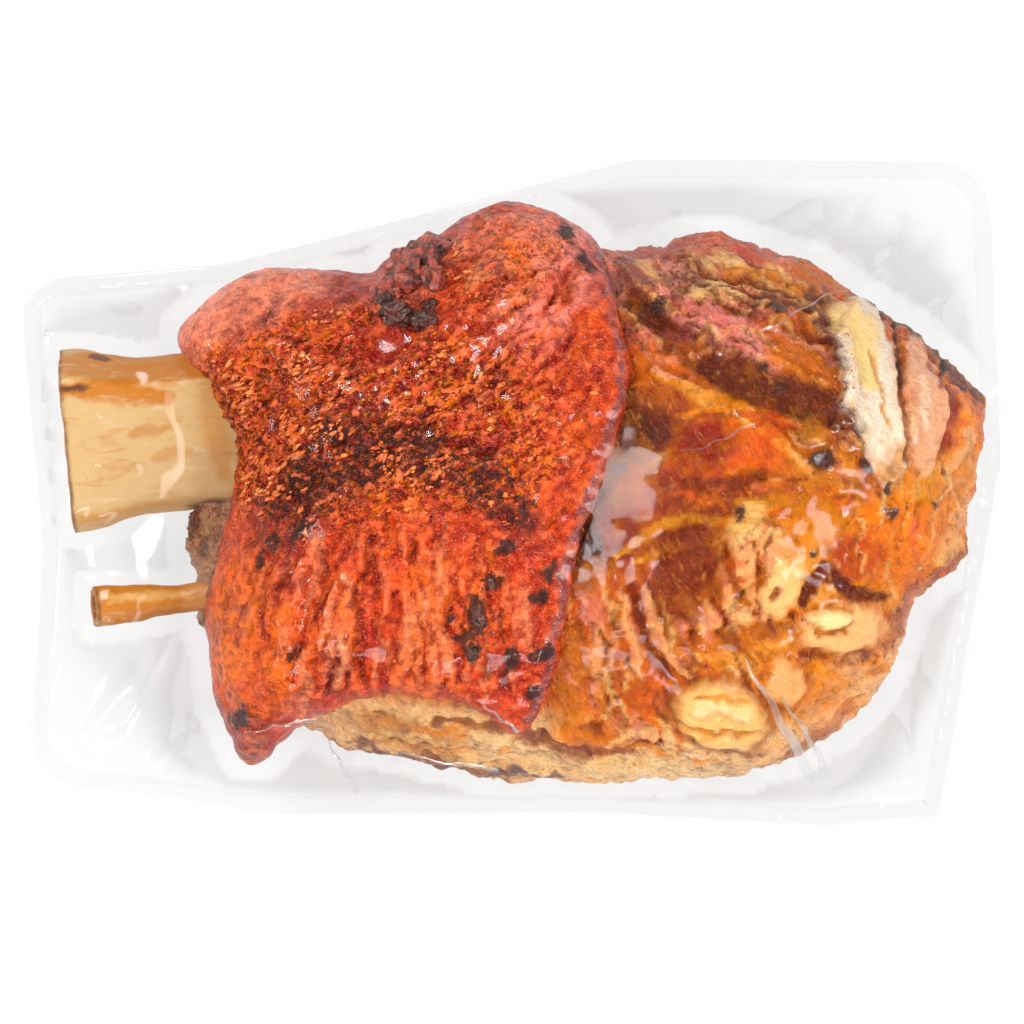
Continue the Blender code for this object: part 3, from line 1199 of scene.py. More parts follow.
# Features of the thick end's meat, each laid over the ones before it
KNUCKLE_FEATURES: tuple[Feature, ...] = (
    Feature("glaze", ((28, 4),), 22, (150, 44, 8), 0.9, length=26, angle=60, soft=1.3, rough=0.15),
    Feature("umber edge", ((21, 22), (22, 6), (17, -8), (14, -16)), 5.4, (92, 34, 10), 0.85, soft=1.3,
            rough=0),
    Feature("brown glaze", ((25, -4),), 5, (140, 38, 6), 0.8, length=10, angle=60, soft=1.3, rough=0),
    Feature("umber crust", ((22.6, 45), (25.4, 38), (23, 32)), 3.4, (128, 62, 50), 0.8, rough=1, char=0.2),
    Feature("tan heel", ((56, -30),), 22, (236, 160, 96), 0.95, length=30, angle=38, rough=0.2),
    Feature("cream heel", ((68, -36),), 9, (246, 180, 128), 0.95, length=14, angle=60, rough=0.15),
    Feature("rind light", ((44, -53), (58, -48.6)), 3, (250, 208, 162), 0.85),
    Feature("foot band", ((-38, -44), (-14, -48), (14, -52), (40, -54), (56, -50)), 8.5, (250, 198, 142),
            0.97, soft=0.8, rough=0.3),
    Feature("rind patch", ((-20, -47.5),), 3, (184, 116, 70), 0.75, length=12, angle=-14, soft=1.1),
    Feature("rind patch", ((0, -51.4),), 3, (250, 208, 156), 0.85, length=10, angle=-8, soft=0.9),
    Feature("rind patch", ((9, -49.4),), 1.6, (150, 82, 56), 0.7, length=5, angle=-14),
    Feature("rind patch", ((30, -54.2),), 2.4, (252, 214, 164), 0.85, length=18, angle=-1, soft=0.9),
    Feature("rind stain", ((-14, -44.6), (0, -47), (12, -50.6), (24, -51)), 1.3, (142, 72, 50), 0.7, -0.4,
            soft=1.1),
    Feature("rind line", ((-32, -48.6), (-20, -52.6), (-6, -55), (10, -56.2)), 0.8, (104, 54, 56), 0.75,
            soft=1.2),
    Feature("orange rim", ((86, 22), (88, 6), (84, -8), (76, -14)), 8, (242, 134, 62), 0.95, soft=0.9,
            rough=0.2),
    Feature("pale rim", ((90, 12), (87.4, -4), (85, -12)), 2.6, (246, 184, 132), 0.85),
    Feature("upper crust", ((28, 38),), 12, (218, 128, 114), 0.92, length=20, angle=-20, soft=1.1, rough=1),
    Feature("pink crust", ((41, 33),), 7, (240, 148, 140), 0.94, 0.6, length=16, angle=-22, soft=1.1,
            rough=0.9),
    Feature("pink crust", ((29, 42.5),), 4, (242, 164, 146), 0.85, 0.4, length=9, angle=-4, soft=1.1,
            rough=0.8),
    Feature("red rim", ((26, 47.5), (38, 49.6), (54, 46.2), (68, 39.4)), 3, (204, 104, 92), 0.9, soft=0.9,
            rough=0.5),
    Feature("amber rim", ((56, 43.4), (66, 38.4)), 3.4, (204, 106, 34), 0.85, rough=0.5),
    Feature("pale muscle", ((48, 41),), 3.8, (240, 196, 138), 0.9, 0.5, length=13.5, angle=-22, soft=0.9,
            rough=0.8),
    Feature("amber muscle", ((42, 44), (50, 43), (58, 39.4)), 1.2, (214, 122, 48), 0.8, -0.4),
    Feature("pale muscle", ((40, 40),), 2.2, (232, 200, 140), 0.8, length=6, angle=10, soft=0.9),
    Feature("split", ((37, 44), (47, 41.6), (57, 37.6)), 0.9, (134, 66, 30), 0.85, -0.9),
    Feature("split", ((42, 40.8), (50, 38.2), (58, 34.8)), 0.8, (112, 52, 30), 0.85, -0.8),
    Feature("brown muscle", ((57.5, 27.6),), 7.5, (190, 98, 46), 0.95, 1.6, length=10.5, angle=-38, soft=0.7,
            rough=0.5),
    Feature("dark groove", ((24, 37), (34, 28.6), (42, 24), (51, 19.4), (60, 17.2), (68, 12.4)), 3.4,
            (92, 36, 20), 0.9, -1.6, rough=0.9, char=0.3),
    Feature("purple crust", ((30, 30), (38, 28)), 2.8, (124, 56, 58), 0.8, 0.9, rough=1, char=0.26),
    Feature("olive hollow", ((52, 15.4),), 3.8, (158, 104, 50), 0.85, -0.6, length=12, angle=-24, soft=0.9,
            rough=0.5),
    Feature("maroon edge", ((59, 35.4), (62.2, 30.6), (64.2, 26), (65.4, 20), (65.2, 15), (68, 10)), 2.2,
            (92, 42, 44), 0.9, 1, soft=0.8, rough=1, char=0.4),
    Feature("purple lump", ((67, 11.6),), 3.4, (120, 62, 62), 0.9, 1.2, length=4.2, angle=60, soft=0.8,
            rough=1),
    Feature("tan ridge", ((28, 24), (35, 19.6), (42, 17.4), (50, 12.4), (58, 4.6)), 1.7, (226, 160, 96),
            0.85, 1.1, soft=0.9, rough=0.3),
    Feature("amber field", ((26, 20),), 6, (204, 100, 30), 0.75, length=9, angle=60, soft=1.1, rough=0.3),
    Feature("maroon pool", ((25, 8.4),), 7.4, (66, 16, 8), 0.97, -1, length=10.5, angle=64, soft=1.1,
            rough=0.1),
    Feature("amber glow", ((24.4, 2),), 2.4, (176, 92, 20), 0.7, length=5, angle=40, soft=1.1, rough=0),
    Feature("orange pool", ((46.6, 9.8),), 6, (214, 76, 4), 0.97, 0.8, length=8.6, angle=24, soft=0.7,
            rough=0),
    Feature("red pool", ((38, 8.8),), 4.6, (134, 14, 4), 0.95, length=6.6, angle=24, soft=0.9, rough=0),
    Feature("pool brim", ((34, 14.6), (41, 17.2), (50, 16)), 1, (232, 128, 56), 0.8, 0.8, soft=0.9),
    Feature("pool foot", ((34, 2.4), (41, 1), (49, 3.4)), 1.6, (96, 32, 6), 0.85, -0.8),
    Feature("dark amber", ((36, -4.4),), 6.4, (138, 46, 6), 0.88, -0.6, length=14, angle=10, soft=1.1,
            rough=0.1),
    Feature("amber ray", ((20, -12), (28, -7), (37, -5), (46, -6)), 1.2, (208, 132, 52), 0.7, 0.7,
            rough=0.05),
    Feature("amber ray", ((24, -14), (31, -11), (40, -9.6)), 0.9, (196, 116, 40), 0.65, 0.6, rough=0.05),
    Feature("amber light", ((44, -3), (56, -2)), 2.6, (206, 126, 44), 0.7, soft=1.1, rough=0.1),
    Feature("tan mottle", ((64, 2),), 7, (204, 130, 66), 0.75, length=9, angle=-30, soft=1.1, rough=0.5),
    Feature("brown mottle", ((72, 3),), 3, (150, 76, 44), 0.7, length=6, angle=80, soft=1.1, rough=0.8),
    Feature("hollow", ((35, -16),), 6.5, (122, 34, 4), 0.95, -2.2, length=9.5, angle=70, soft=1.1, rough=0),
    Feature("pink fibre", ((14.6, -23),), 4.6, (210, 124, 104), 0.9, 0.5, length=8, angle=96, soft=0.9,
            rough=0.6),
    Feature("pale fibre", ((17.6, -32.6),), 2.8, (230, 164, 124), 0.85, 0.5, length=6.5, angle=84, soft=0.9),
    Feature("amber lobe", ((11.6, -33.6),), 4, (194, 98, 14), 0.9, 0.4, length=8, angle=90, soft=0.9,
            rough=0.1),
    Feature("red valley", ((23.6, -18), (27.4, -28), (30, -36)), 1.9, (158, 44, 8), 0.9, -1.4, rough=0),
    Feature("pale cord", ((21.6, -20), (22.8, -27), (25.6, -36)), 1.15, (222, 146, 116), 0.9, 1.1, soft=0.8,
            rough=0.3),
    Feature("pale cord", ((25.8, -19.6), (28.4, -28.4), (34.4, -35.4)), 1.15, (226, 156, 120), 0.85, 1.1,
            soft=0.8, rough=0.3),
    Feature("amber field", ((31, -37),), 5, (192, 78, 24), 0.85, length=9, angle=20, rough=0.2),
    Feature("fan light", ((48, -12),), 4, (240, 176, 118), 0.85, 0.4, length=6, angle=40),
    Feature("fan", ((44.6, -16),), 8, (240, 168, 126), 0.95, 1.3, length=11, angle=60, soft=0.8, rough=0.3),
    Feature("pink fan", ((40.6, -19),), 3.6, (232, 138, 118), 0.8, 0.3, length=6.5, angle=78),
    Feature("fan fold", ((42, -10), (43.5, -17), (47, -24)), 0.9, (176, 70, 26), 0.85, -1),
    Feature("fan fold", ((47, -10), (48.6, -17), (50.6, -25)), 0.8, (184, 84, 34), 0.8, -0.9),
    Feature("fan fold", ((38.6, -12), (39.6, -19), (42, -26)), 0.9, (170, 66, 20), 0.8, -0.9),
    Feature("fat bud", ((52.6, -18.6),), 3.2, (246, 192, 134), 0.85, 1, length=6, angle=64, soft=0.9,
            fat=0.7, rough=0.1),
    Feature("fat bud", ((46.4, -5),), 2.6, (226, 180, 116), 0.8, 0.6, length=4.4, angle=30, soft=0.9,
            fat=0.6),
    Feature("bud mouth", ((51.2, -19.4),), 0.9, (132, 62, 14), 0.95, -0.9, length=1.3, angle=80, soft=0.8),
    Feature("under fan", ((34, -29), (44, -28.6), (54, -27)), 2.6, (178, 82, 22), 0.8, -1.1, rough=0.1),
    Feature("orange flank", ((75, -9),), 8.5, (244, 128, 54), 0.95, 0.5, length=11, angle=64, soft=0.9,
            rough=0.2),
    Feature("red patch", ((66.6, -12.6),), 4.2, (186, 58, 20), 0.9, 0.3, length=6.2, angle=34, soft=0.8,
            rough=0.5),
    Feature("wedge", ((56.6, -21), (61, -15), (66.4, -19.2), (74, -20.6)), 1.6, (104, 50, 40), 0.9, -0.8,
            soft=0.8, rough=0.9, char=0.2),
    Feature("right rim", ((64.8, -26.6),), 6.2, (190, 98, 54), 0.85, length=10, angle=6, soft=0.5, fat=0.1),
    Feature("right fat", ((65, -26.4),), 5, (240, 184, 130), 0.93, 1.3, length=8.6, angle=6, soft=0.7,
            fat=0.8, rough=0.05),
    Feature("right bud", ((62.4, -25),), 2.2, (252, 216, 160), 0.9, 0.7, length=4.2, angle=12, soft=0.8,
            fat=1),
    Feature("bud line", ((57.6, -24.8), (60, -27.4), (64, -27.2), (66.4, -24.8)), 0.7, (190, 112, 52), 0.85,
            -0.9),
    Feature("bud line", ((59.4, -22.6), (63, -22), (66, -22.8)), 0.5, (206, 130, 70), 0.75, -0.5),
    Feature("fat seam", ((57, -31.4), (64, -32.6), (71.6, -32)), 1.5, (152, 90, 76), 0.9, -0.9, soft=0.8,
            rough=0.5),
    Feature("seam patch", ((57, -34.6),), 3, (148, 76, 62), 0.85, length=4, angle=80, soft=0.9, rough=0.6),
    Feature("small rim", ((53.6, -37),), 4.7, (190, 96, 50), 0.85, length=6, angle=110, soft=0.5, fat=0.1),
    Feature("small fat", ((53.6, -37),), 3.6, (240, 180, 124), 0.85, 1, length=4.8, angle=110, soft=0.8,
            fat=0.7, rough=0.05),
    Feature("heel stain", ((62, -38),), 3.4, (240, 160, 104), 0.8, length=5.6, angle=60, soft=0.9),
    Feature("main rim", ((41, -42.8),), 7, (158, 72, 34), 0.9, 0.2, length=10.4, angle=-14, soft=0.4,
            fat=0.1, rough=0.1),
    Feature("main fat", ((41.2, -43),), 5.9, (238, 188, 126), 0.97, 2.2, length=9, angle=-14, soft=0.5,
            fat=1, rough=0.05),
    Feature("main crest", ((35.6, -41.4), (40, -39.8), (46, -42.4)), 1.2, (246, 212, 164), 0.7, 0.6,
            soft=1.2, fat=1),
    Feature("main fold", ((33.4, -43.6), (38.6, -45.4), (44, -45.8), (48.6, -45.2)), 0.8, (206, 138, 76),
            0.85, -0.9),
    Feature("main fold", ((36, -39.6), (42, -38.6), (47, -40.2)), 0.6, (214, 140, 72), 0.8, -0.7),
    Feature("lower lobe", ((16, -47),), 3.6, (206, 108, 52), 0.9, 0.8, length=8, angle=-8, soft=0.7,
            rough=0.2),
    Feature("pink lobe", ((24.4, -45.4),), 2.8, (218, 142, 112), 0.8, 0.6, length=5, angle=-30, soft=0.9),
    Feature("lower seam", ((6, -46.6), (16, -50.8), (30, -48.6)), 0.8, (150, 66, 44), 0.8, -0.6),
    Feature("tendon shade", ((70.6, 35), (66.4, 28), (69, 17), (72.6, 6)), 5.4, (150, 84, 40), 0.7, -0.4),
    Feature("tendon", ((69.4, 35), (68.6, 29), (70.6, 20), (73, 13), (74.6, 6)), 5.8, (222, 204, 182), 0.96,
            1.2, soft=0.5, fat=0.9, rough=0),
    Feature("tendon sheen", ((71, 25), (73, 16)), 1.7, (240, 224, 204), 0.7, soft=1.1, fat=0.9),
    Feature("tendon foot", ((74.8, 5.4),), 3.4, (214, 156, 104), 0.85, length=4.6, angle=80, soft=1.1,
            fat=0.3),
    Feature("tendon tint", ((67, 31), (68.4, 25), (70, 20)), 2.6, (238, 204, 128), 0.75, soft=1.1, fat=0.9),
    Feature("tendon root", ((67, 31.6),), 4, (236, 200, 140), 0.92, 0.8, length=6, angle=-50, soft=0.7,
            fat=1, rough=0),
    Feature("tendon line", ((70, 27), (72, 20), (74, 12)), 0.5, (206, 152, 88), 0.8, -0.4),
    Feature("tendon gap", ((75.6, 33), (76.8, 20), (77.4, 5)), 0.7, (164, 98, 54), 0.85, -1.2, soft=0.9),
    Feature("second tendon", ((80, 28), (81.6, 18), (81, 6)), 4, (230, 172, 140), 0.9, 0.8, soft=0.8,
            fat=0.5, rough=0.05),
    Feature("tendon crest", ((80.6, 22), (81.4, 12)), 1, (242, 206, 176), 0.7, soft=1.1),
    Feature("rim fold", ((85.4, 27), (86.6, 16), (85, 4)), 0.9, (156, 68, 44), 0.85, -0.9),
    Feature("rim mark", ((86.6, 13.6),), 1.1, (166, 76, 70), 0.8, length=4, angle=88),
    Feature("rim mark", ((82.4, 25), (84.8, 20.6)), 1, (140, 54, 40), 0.8),
    Feature("knuckle bud", ((81.8, 2.2),), 3.4, (220, 168, 102), 0.85, 0.9, length=5, angle=20, soft=0.8),
    Feature("bud mark", ((84, 0.4),), 2, (138, 50, 40), 0.85, length=2.8, angle=-30, soft=0.9),
    Feature("far edge", ((68, 41), (77, 33.6), (85, 27.4), (93, 18.4)), 1.1, (96, 52, 46), 0.8, rough=1),
    Feature("heel edge", ((90, -9), (84.4, -15), (79, -19.6), (75.4, -27), (72.6, -34.6)), 1.5,
            (160, 94, 82), 0.85, 0.5, soft=0.8, rough=0.9),
    Feature("heel edge", ((70.6, -40.6), (62, -48), (50, -54)), 0.8, (190, 112, 72), 0.6),
)

# Fibres, juice lines and specks of crust of the meat
JUICE, UMBER, AMBER, PLUM = (112, 30, 6), (74, 26, 16), (228, 92, 18), (104, 40, 46)
HONEY, CREAM, ROSE, PINK = (238, 146, 76), (250, 202, 142), (226, 128, 102), (246, 170, 152)
KNUCKLE_STROKES: tuple[Feature, ...] = (
    *strokes(21, 84, (42, 35), (24, 13), (-10, -44), (UMBER, PINK, ROSE, CREAM, PINK, JUICE), -0.35),
    *strokes(23, 46, (50, 4), (24, 13), (20, -40), (JUICE, CREAM, AMBER, JUICE, ROSE), -0.3),
    *strokes(25, 90, (32, -30), (26, 17), (-84, -44), (JUICE, PINK, AMBER, ROSE, CREAM, JUICE), -0.36,
             (4, 13)),
    *strokes(35, 34, (46, -16), (9, 9), (40, 84), (JUICE, CREAM, ROSE, CREAM), -0.4, (3, 8)),
    *strokes(37, 40, (48, 40), (13, 5), (-12, -34), (UMBER, CREAM, JUICE), -0.4, (1.5, 6), (0.35, 0.6)),
    *strokes(27, 50, (76, -2), (13, 22), (-84, -110), (HONEY, CREAM, AMBER, ROSE), -0.3, (4, 12)),
    *strokes(29, 40, (66, -32), (14, 14), (-30, 30), (HONEY, CREAM, HONEY), -0.25, (3, 9)),
    *strokes(31, 40, (8, -50), (48, 5), (-12, 4), (CREAM, HONEY, CREAM, JUICE), -0.14, (3, 13), (0.35, 0.7)),
    *strokes(33, 64, (36, 37), (18, 11), (0, 180), (UMBER, PLUM), 0.5, (0.8, 2.6), (0.5, 0.9)),
)

# Places of the charred marks on the meat, with their half widths and the turn of their long side
KNUCKLE_CHAR: tuple[tuple[float, float, float, float, float], ...] = (
    (60.8, 6.6, 1.8, 2.1, 20), (69.8, 5, 1.3, 1.8, 140), (74, 1.6, 0.9, 2, 80),
    (73.8, -3.4, 1, 1.3, 60), (82.2, -1.8, 0.9, 1.6, 150), (52.4, 35.6, 1.2, 2, 150),
    (29, 35.8, 1.4, 1.9, 10), (49.4, 24, 0.8, 1, 0), (52.6, 20, 1, 1.8, 150),
    (44.5, -4.2, 0.8, 1.2, 40), (58.4, -11, 0.8, 1, 0), (85.6, 26.4, 0.7, 1.5, 140),
    (79.6, 31.2, 0.8, 1.8, 130), (89.6, 21.4, 0.6, 1.2, 130),
)


# The pouch's plan


def bend(start: Vector, corner: Vector, end: Vector, steps: int = 8) -> list[Vector]:
    """Draws a curve that leaves start towards corner and arrives at end from it.

    Args:
        start: where it starts.
        corner: the corner that it rounds.
        end: where it ends.
        steps: how many points it has.

    Returns:
        The points.
    """
    shares = np.linspace(0, 1, steps)
    return [start * (1 - t) ** 2 + corner * 2 * t * (1 - t) + end * t**2 for t in shares]


def filleted(start: Point, turns: Sequence[tuple], end: Point) -> list[Vector]:
    """Draws one edge of the pouch with its turns rounded.

    Args:
        start: the corner that it starts from.
        turns: the soft turns along it.
        end: the corner that it runs to.

    Returns:
        The edge's points.
    """
    corners = [start, *turns, end]
    places = [Vector(corner[:2]) for corner in corners]
    line = [places[0]]
    for before, place, after, corner in zip(places, places[1:], places[2:], corners[1:]):
        back, ahead = before - place, after - place
        reach = corner[2] / math.tan(back.angle(ahead) / 2)
        reach = min(reach, 0.45 * back.length, 0.45 * ahead.length)
        line += bend(place + back.normalized() * reach, place, place + ahead.normalized() * reach)
    return [*line, places[-1]]


def outline_sides() -> list[list[Vector]]:
    """Returns the pouch's four sides, top, right, foot and left, which share their ends.

    Returns:
        The points of each side.
    """
    corners = (LEFT_TOP, RIGHT_TOP, RIGHT_FOOT, LEFT_FOOT)
    turns = (TOP_TURNS, RIGHT_TURNS, FOOT_TURNS, LEFT_TURNS)
    sides = [filleted(corners[k], turns[k], corners[(k + 1) % 4]) for k in range(4)]
    rounded = []
    for k, side in enumerate(sides):
        corner = Vector(corners[k][:2])
        back, ahead = (sides[k - 1][-2] - corner), (side[1] - corner)
        reach = corners[k][2] / math.tan(back.angle(ahead) / 2)
        rounded.append(
            bend(corner + back.normalized() * reach, corner, corner + ahead.normalized() * reach, 9)
        )
    ends = [fillet[4:] for fillet in rounded]
    starts = [rounded[(k + 1) % 4][:5] for k in range(4)]
    return [ends[k] + sides[k][1:-1] + starts[k] for k in range(4)]


def evenly(line: Sequence[Vector], count: int) -> Array:
    """Spreads points evenly along a line.

    Args:
        line: the line's own points.
        count: how many points to make.

    Returns:
        The points as rows of x and y.
    """
    points = np.array([tuple(point) for point in line])
    along = np.concatenate([[0], np.cumsum(np.linalg.norm(np.diff(points, axis=0), axis=1))])
    at = np.linspace(0, along[-1], count)
    return np.stack([np.interp(at, along, points[:, k]) for k in range(2)], axis=1)


def plan_grid(long: int, across: int) -> Array:
    """Fills the pouch's outline with a grid.

    Args:
        long: cells along it.
        across: cells across it.

    Returns:
        The grid's points as an array of rows from left to right, the lowest row first.
    """
    top, right, foot, left = outline_sides()
    v = np.linspace(0, 1, across + 1)[:, None, None]
    u = np.linspace(0, 1, long + 1)[None, :, None]
    upper, lower = evenly(top, long + 1)[None], evenly(foot[::-1], long + 1)[None]
    first, last = evenly(left, across + 1)[:, None], evenly(right[::-1], across + 1)[:, None]
    corners = (
        lower[:, :1] * (1 - v) * (1 - u)
        + lower[:, -1:] * (1 - v) * u
        + upper[:, :1] * v * (1 - u)
        + upper[:, -1:] * v * u
    )
    return lower * (1 - v) + upper * v + first * (1 - u) + last * u - corners


def pouch_loop() -> Array:
    """Returns the pouch's outline as one closed loop."""
    sides = outline_sides()
    return np.concatenate([np.array([tuple(p) for p in side])[:-1] for side in sides])


# The hock


def blurred(values: Array, passes: int) -> Array:
    """Softens a map by averaging neighbours.

    Args:
        values: the map.
        passes: how many times.

    Returns:
        The softer map.
    """
    for _ in range(passes):
        around = np.pad(values, 1, mode="edge")
        middle = (around[:-2] + 2 * around[1:-1] + around[2:]) / 4
        values = (middle[:, :-2] + 2 * middle[:, 1:-1] + middle[:, 2:]) / 4
    return values


def joined(first: Array, second: Array, reach: float) -> Array:
    """Joins two solids with a soft valley between them.

    Args:
        first: one solid's samples.
        second: the other's.
        reach: how wide the valley is.

    Returns:
        The samples of both together.
    """
    share = np.clip(reach - np.abs(first - second), 0, None) / reach
    return np.maximum(first, second) + share * share * reach / 4


@dataclass(frozen=True)
class Mound:
    """A rounded lump of meat over an outline."""

    outline: tuple[Point, ...]
    rim: float
    rise: float
    under_rim: float = 34.0

    def samples(self, block: Block) -> Array:
        """Measures how deep each sample of a block lies in the lump.

        Args:
            block: the block of samples.

        Returns:
            The depth in millimetres, about right near the surface, and negative outside.
        """
        places, shape = block.plan()
        depth = blurred(depth_inside(places, smooth_loop(self.outline)).reshape(shape), 6)
        height = block.axes()[2][None, None, :] - MEAT_MIDDLE
        upper = height > 0
        rim = np.where(upper, self.rim, self.under_rim).astype(np.float32)
        reach = np.where(upper, self.rise, MEAT_DEPTH).astype(np.float32)
        side = np.clip(1 - depth[:, :, None].astype(np.float32) / rim, 0, None)
        up = height / reach
        far = np.sqrt(side**2 + up**2) + 1e-6
        slope = np.sqrt((side / rim) ** 2 + (up / reach) ** 2) / far + 1e-6
        return np.clip((1 - far) / slope, -30, 30)


@dataclass
class Hock:
    """The roast hock: the skin cap over the shank, and the meat of the thick end."""

    placing: Placing
    step: float = 0.64
    shank: Mound = field(default_factory=lambda: Mound(SHANK_OUTLINE, 33.0, 38.0))
    knuckle: Mound = field(default_factory=lambda: Mound(KNUCKLE_OUTLINE, 36.0, 32.0))
    pieces: list[Skin] = field(default_factory=list)

    def build(self) -> None:
        """Shapes, paints and places both pieces."""
        block = Block((-72.0, -63.0, -5.0), (99.0, 63.0, 72.0), self.step)
        shank = self.shank.samples(block) - SKIN_THICKNESS
        meat = joined(shank, self.knuckle.samples(block), 9.0)
        places, shape = block.plan()
        edge = depth_inside(places, smooth_loop(CAP_OUTLINE)).reshape(shape)[:, :, None]
        cap = -joined(-(meat + SKIN_THICKNESS), -(edge + 0.9).astype(np.float32), 2.4)
        self._skin_cap(block, cap)
        self._thick_end(block, meat, cap)

    def _skin_cap(self, block: Block, cap: Array) -> None:
        """Makes the browned skin cap.

        Args:
            block: the block of samples.
            cap: the skin's samples.
        """
        skin = block.surface(cap)
        skin.relax(3)
        skin.rest_on(TABLE_CLEARANCE + 0.6)
        points = skin.points
        shown = smooth_step(points[:, 2], 14, 32)
        features = CAP_FEATURES + tuple(
            Feature("char", ((x, y),), 1.2 * a, (60, 28, 20), 0.85, 0.4, 1.15 * b, turn, 1.5, char=0.8)
            for x, y, a, b, turn in SKIN_CHAR
        )
        surface = Surface((178, 52, 34), features + CAP_STROKES)
        crumbs = self.crumb_share(points) * shown
        inner = depth_inside(points[:, :2], smooth_loop(CAP_OUTLINE))
        hold = 0.55 + 0.45 * smooth_step(inner, -1.0, 5.0)
        relief = 0.9 * COARSE.layers(points, 13.0, 2) + 0.6 * FINE.layers(points, 4.6, 2, 0.5)
        relief += 0.35 * FINE.ridges(self.rows(points) + 31, 2.2, 2)
        relief += crumbs * (1.15 * FINE.ridges(self.rows(points), 2.6, 2) + 0.2)
        relief += self._wrinkles(points) * shown
        relief += surface.relief(skin, shown)
        skin.push(relief * hold)
        skin.rest_on(TABLE_CLEARANCE + 0.3)
        surface.features += (CUT_EDGE,)
        surface.paint(skin, shown)
        self._vary(skin, (128, 36, 34), (226, 96, 66), 0.42)
        skin.layers["crumbs"] = crumbs
        crest = smooth_step(FINE.ridges(self.rows(points), 2.6, 2), 0.35, 0.75)
        crest = crest * smooth_step(crumbs, 0.15, 0.8)
        patchy = smooth_step(COARSE.layers(points + 80, 7.0, 2), -0.3, 0.3)
        crest = (0.85 * crest * (1 - skin.layers["char"]) * patchy)[:, None]
        skin.layers["tone"] = skin.layers["tone"] * (1 - crest) + np.array(srgb((236, 120, 62))) * crest
        # painted shade darkens the hollows of the skin and painted highlights lighten its crests
        skin.paint_hollow_shade_and_crest_highlight((112, 14, 8), (248, 138, 98), 1.0, 0.62)
        self.pieces.append(skin)
        self.placing.build("skin_cap", skin, SkinFinish().material())

    def _thick_end(self, block: Block, meat: Array, cap: Array) -> None:
        """Makes the meat of the thick end, without what the skin hides.

        Args:
            block: the block of samples.
            meat: the meat's samples.
            cap: the skin's samples.
        """
        skin = block.surface(meat)
        hidden = block.read(cap, skin.points) > 1.6
        skin.keep(~hidden[skin.faces].all(axis=1))
        skin.relax(3)
        skin.rest_on(TABLE_CLEARANCE + 0.6)
        points = skin.points
        shown = smooth_step(points[:, 2], 12, 30)
        features = KNUCKLE_FEATURES + tuple(
            Feature("char", ((x, y),), 1.1 * a, (64, 28, 18), 0.85, 0.4, 1.1 * b, turn, 1.4, char=0.75)
            for x, y, a, b, turn in KNUCKLE_CHAR
        )
        firm = tuple(f for f in features if f.fat or f.char or f.rough == 0.0 or f.width < 1.35)
        surface = Surface((194, 84, 32), features + KNUCKLE_STROKES + firm, 1.1)
        surface.paint(skin, shown)
        lean = 1 - 0.85 * skin.layers["fat"]
        relief = 1.5 * COARSE.layers(points, 17.0, 2) * (0.4 + 0.6 * lean)
        fibres = 0.5 * FINE.ridges(self._fibres(points), 3.8, 2)
        relief += lean * (0.9 * FINE.layers(points, 5.5, 3, 0.55) + fibres)
        relief += skin.layers["rough"] * 0.5 * COARSE.ridges(points, 2.4, 2)
        relief += surface.relief(skin, shown)
        skin.push(relief)
        skin.rest_on(TABLE_CLEARANCE + 0.3)
        self._vary(skin, (140, 54, 14), (226, 136, 60), 0.22)
        # painted shade, in the brown of the juice, darkens the hollows of the meat and painted highlights
        # lighten its crests
        skin.paint_hollow_shade_and_crest_highlight((104, 30, 6), (248, 182, 122), 1.3, 0.7)
        self.pieces.append(skin)
        self.placing.build("thick_end_meat", skin, MeatFinish().material())

    @staticmethod
    def _vary(skin: Skin, dark: Paint, light: Paint, amount: float) -> None:
        """Varies a painted tone in broad clouds.

        Args:
            skin: the surface with its layer tone.
            dark: the darker tint.
            light: the lighter tint.
            amount: how strong the clouds are.
        """
        cloud = COARSE.layers(skin.points + 50, 9.0, 3, 0.6)
        plain = (1 - skin.layers["fat"])[:, None]
        for tint, share in ((dark, smooth_step(cloud, 0.05, 0.6)), (light, smooth_step(-cloud, 0.05, 0.6))):
            mix = share[:, None] * amount * plain
            skin.layers["tone"] = skin.layers["tone"] * (1 - mix) + np.array(srgb(tint)) * mix

    @staticmethod
    def _fibres(points: Array) -> Array:
        """Stretches places along the fibres of the meat, which swing round the thick end.

        Args:
            points: places as rows of x, y and z in millimetres.

        Returns:
            The stretched places.
        """
        blend = smooth_step(points[:, 1], -14, 10)
        turn = np.radians(-62.0 + 36.0 * blend) + 0.3 * COARSE.layers(points, 26.0, 1)
        along = points[:, 0] * np.cos(turn) + points[:, 1] * np.sin(turn)
        across = points[:, 1] * np.cos(turn) - points[:, 0] * np.sin(turn)
        return np.stack([along * 0.4, across, points[:, 2] * 0.7], axis=1)

    @staticmethod
    def rows(points: Array) -> Array:
        """Stretches places along the rows in which the crumbs lie.

        Args:
            points: places as rows of x, y and z in millimetres.

        Returns:
            The stretched places.
        """
        turn = math.radians(33)
        along = points[:, 0] * math.cos(turn) + points[:, 1] * math.sin(turn)
        across = points[:, 1] * math.cos(turn) - points[:, 0] * math.sin(turn)
        return np.stack([along * 0.5, across, points[:, 2]], axis=1)

    @staticmethod
    def crumb_share(points: Array) -> Array:
        """Returns how thickly crumbs lie at each place, from 0 to 1.

        Args:
            points: places as rows of x, y and z in millimetres.

        Returns:
            A share for each place.
        """
        fields = (
            Feature("main field", ((-30, 14),), 20, length=36, angle=4, soft=0.9),
            Feature("crown field", ((-2, 44),), 10, length=14, angle=40),
            Feature("right field", ((0, 4),), 8, length=13, angle=30, soft=1.2),
        )
        places = spread(points, 2.5, 9.0)
        shares = (1.0, 0.42, 0.6)
        total = np.max([share * patch.mask(places) for share, patch in zip(shares, fields)], axis=0)
        calm = Feature("calm", ((-62, 34), (-48, 43)), 5, soft=1.2).mask(places)
        calm = np.maximum(calm, Feature("hollow", ((-24, 29),), 4, length=7, soft=1.2).mask(places))
        return total * (1 - calm) + 0.07

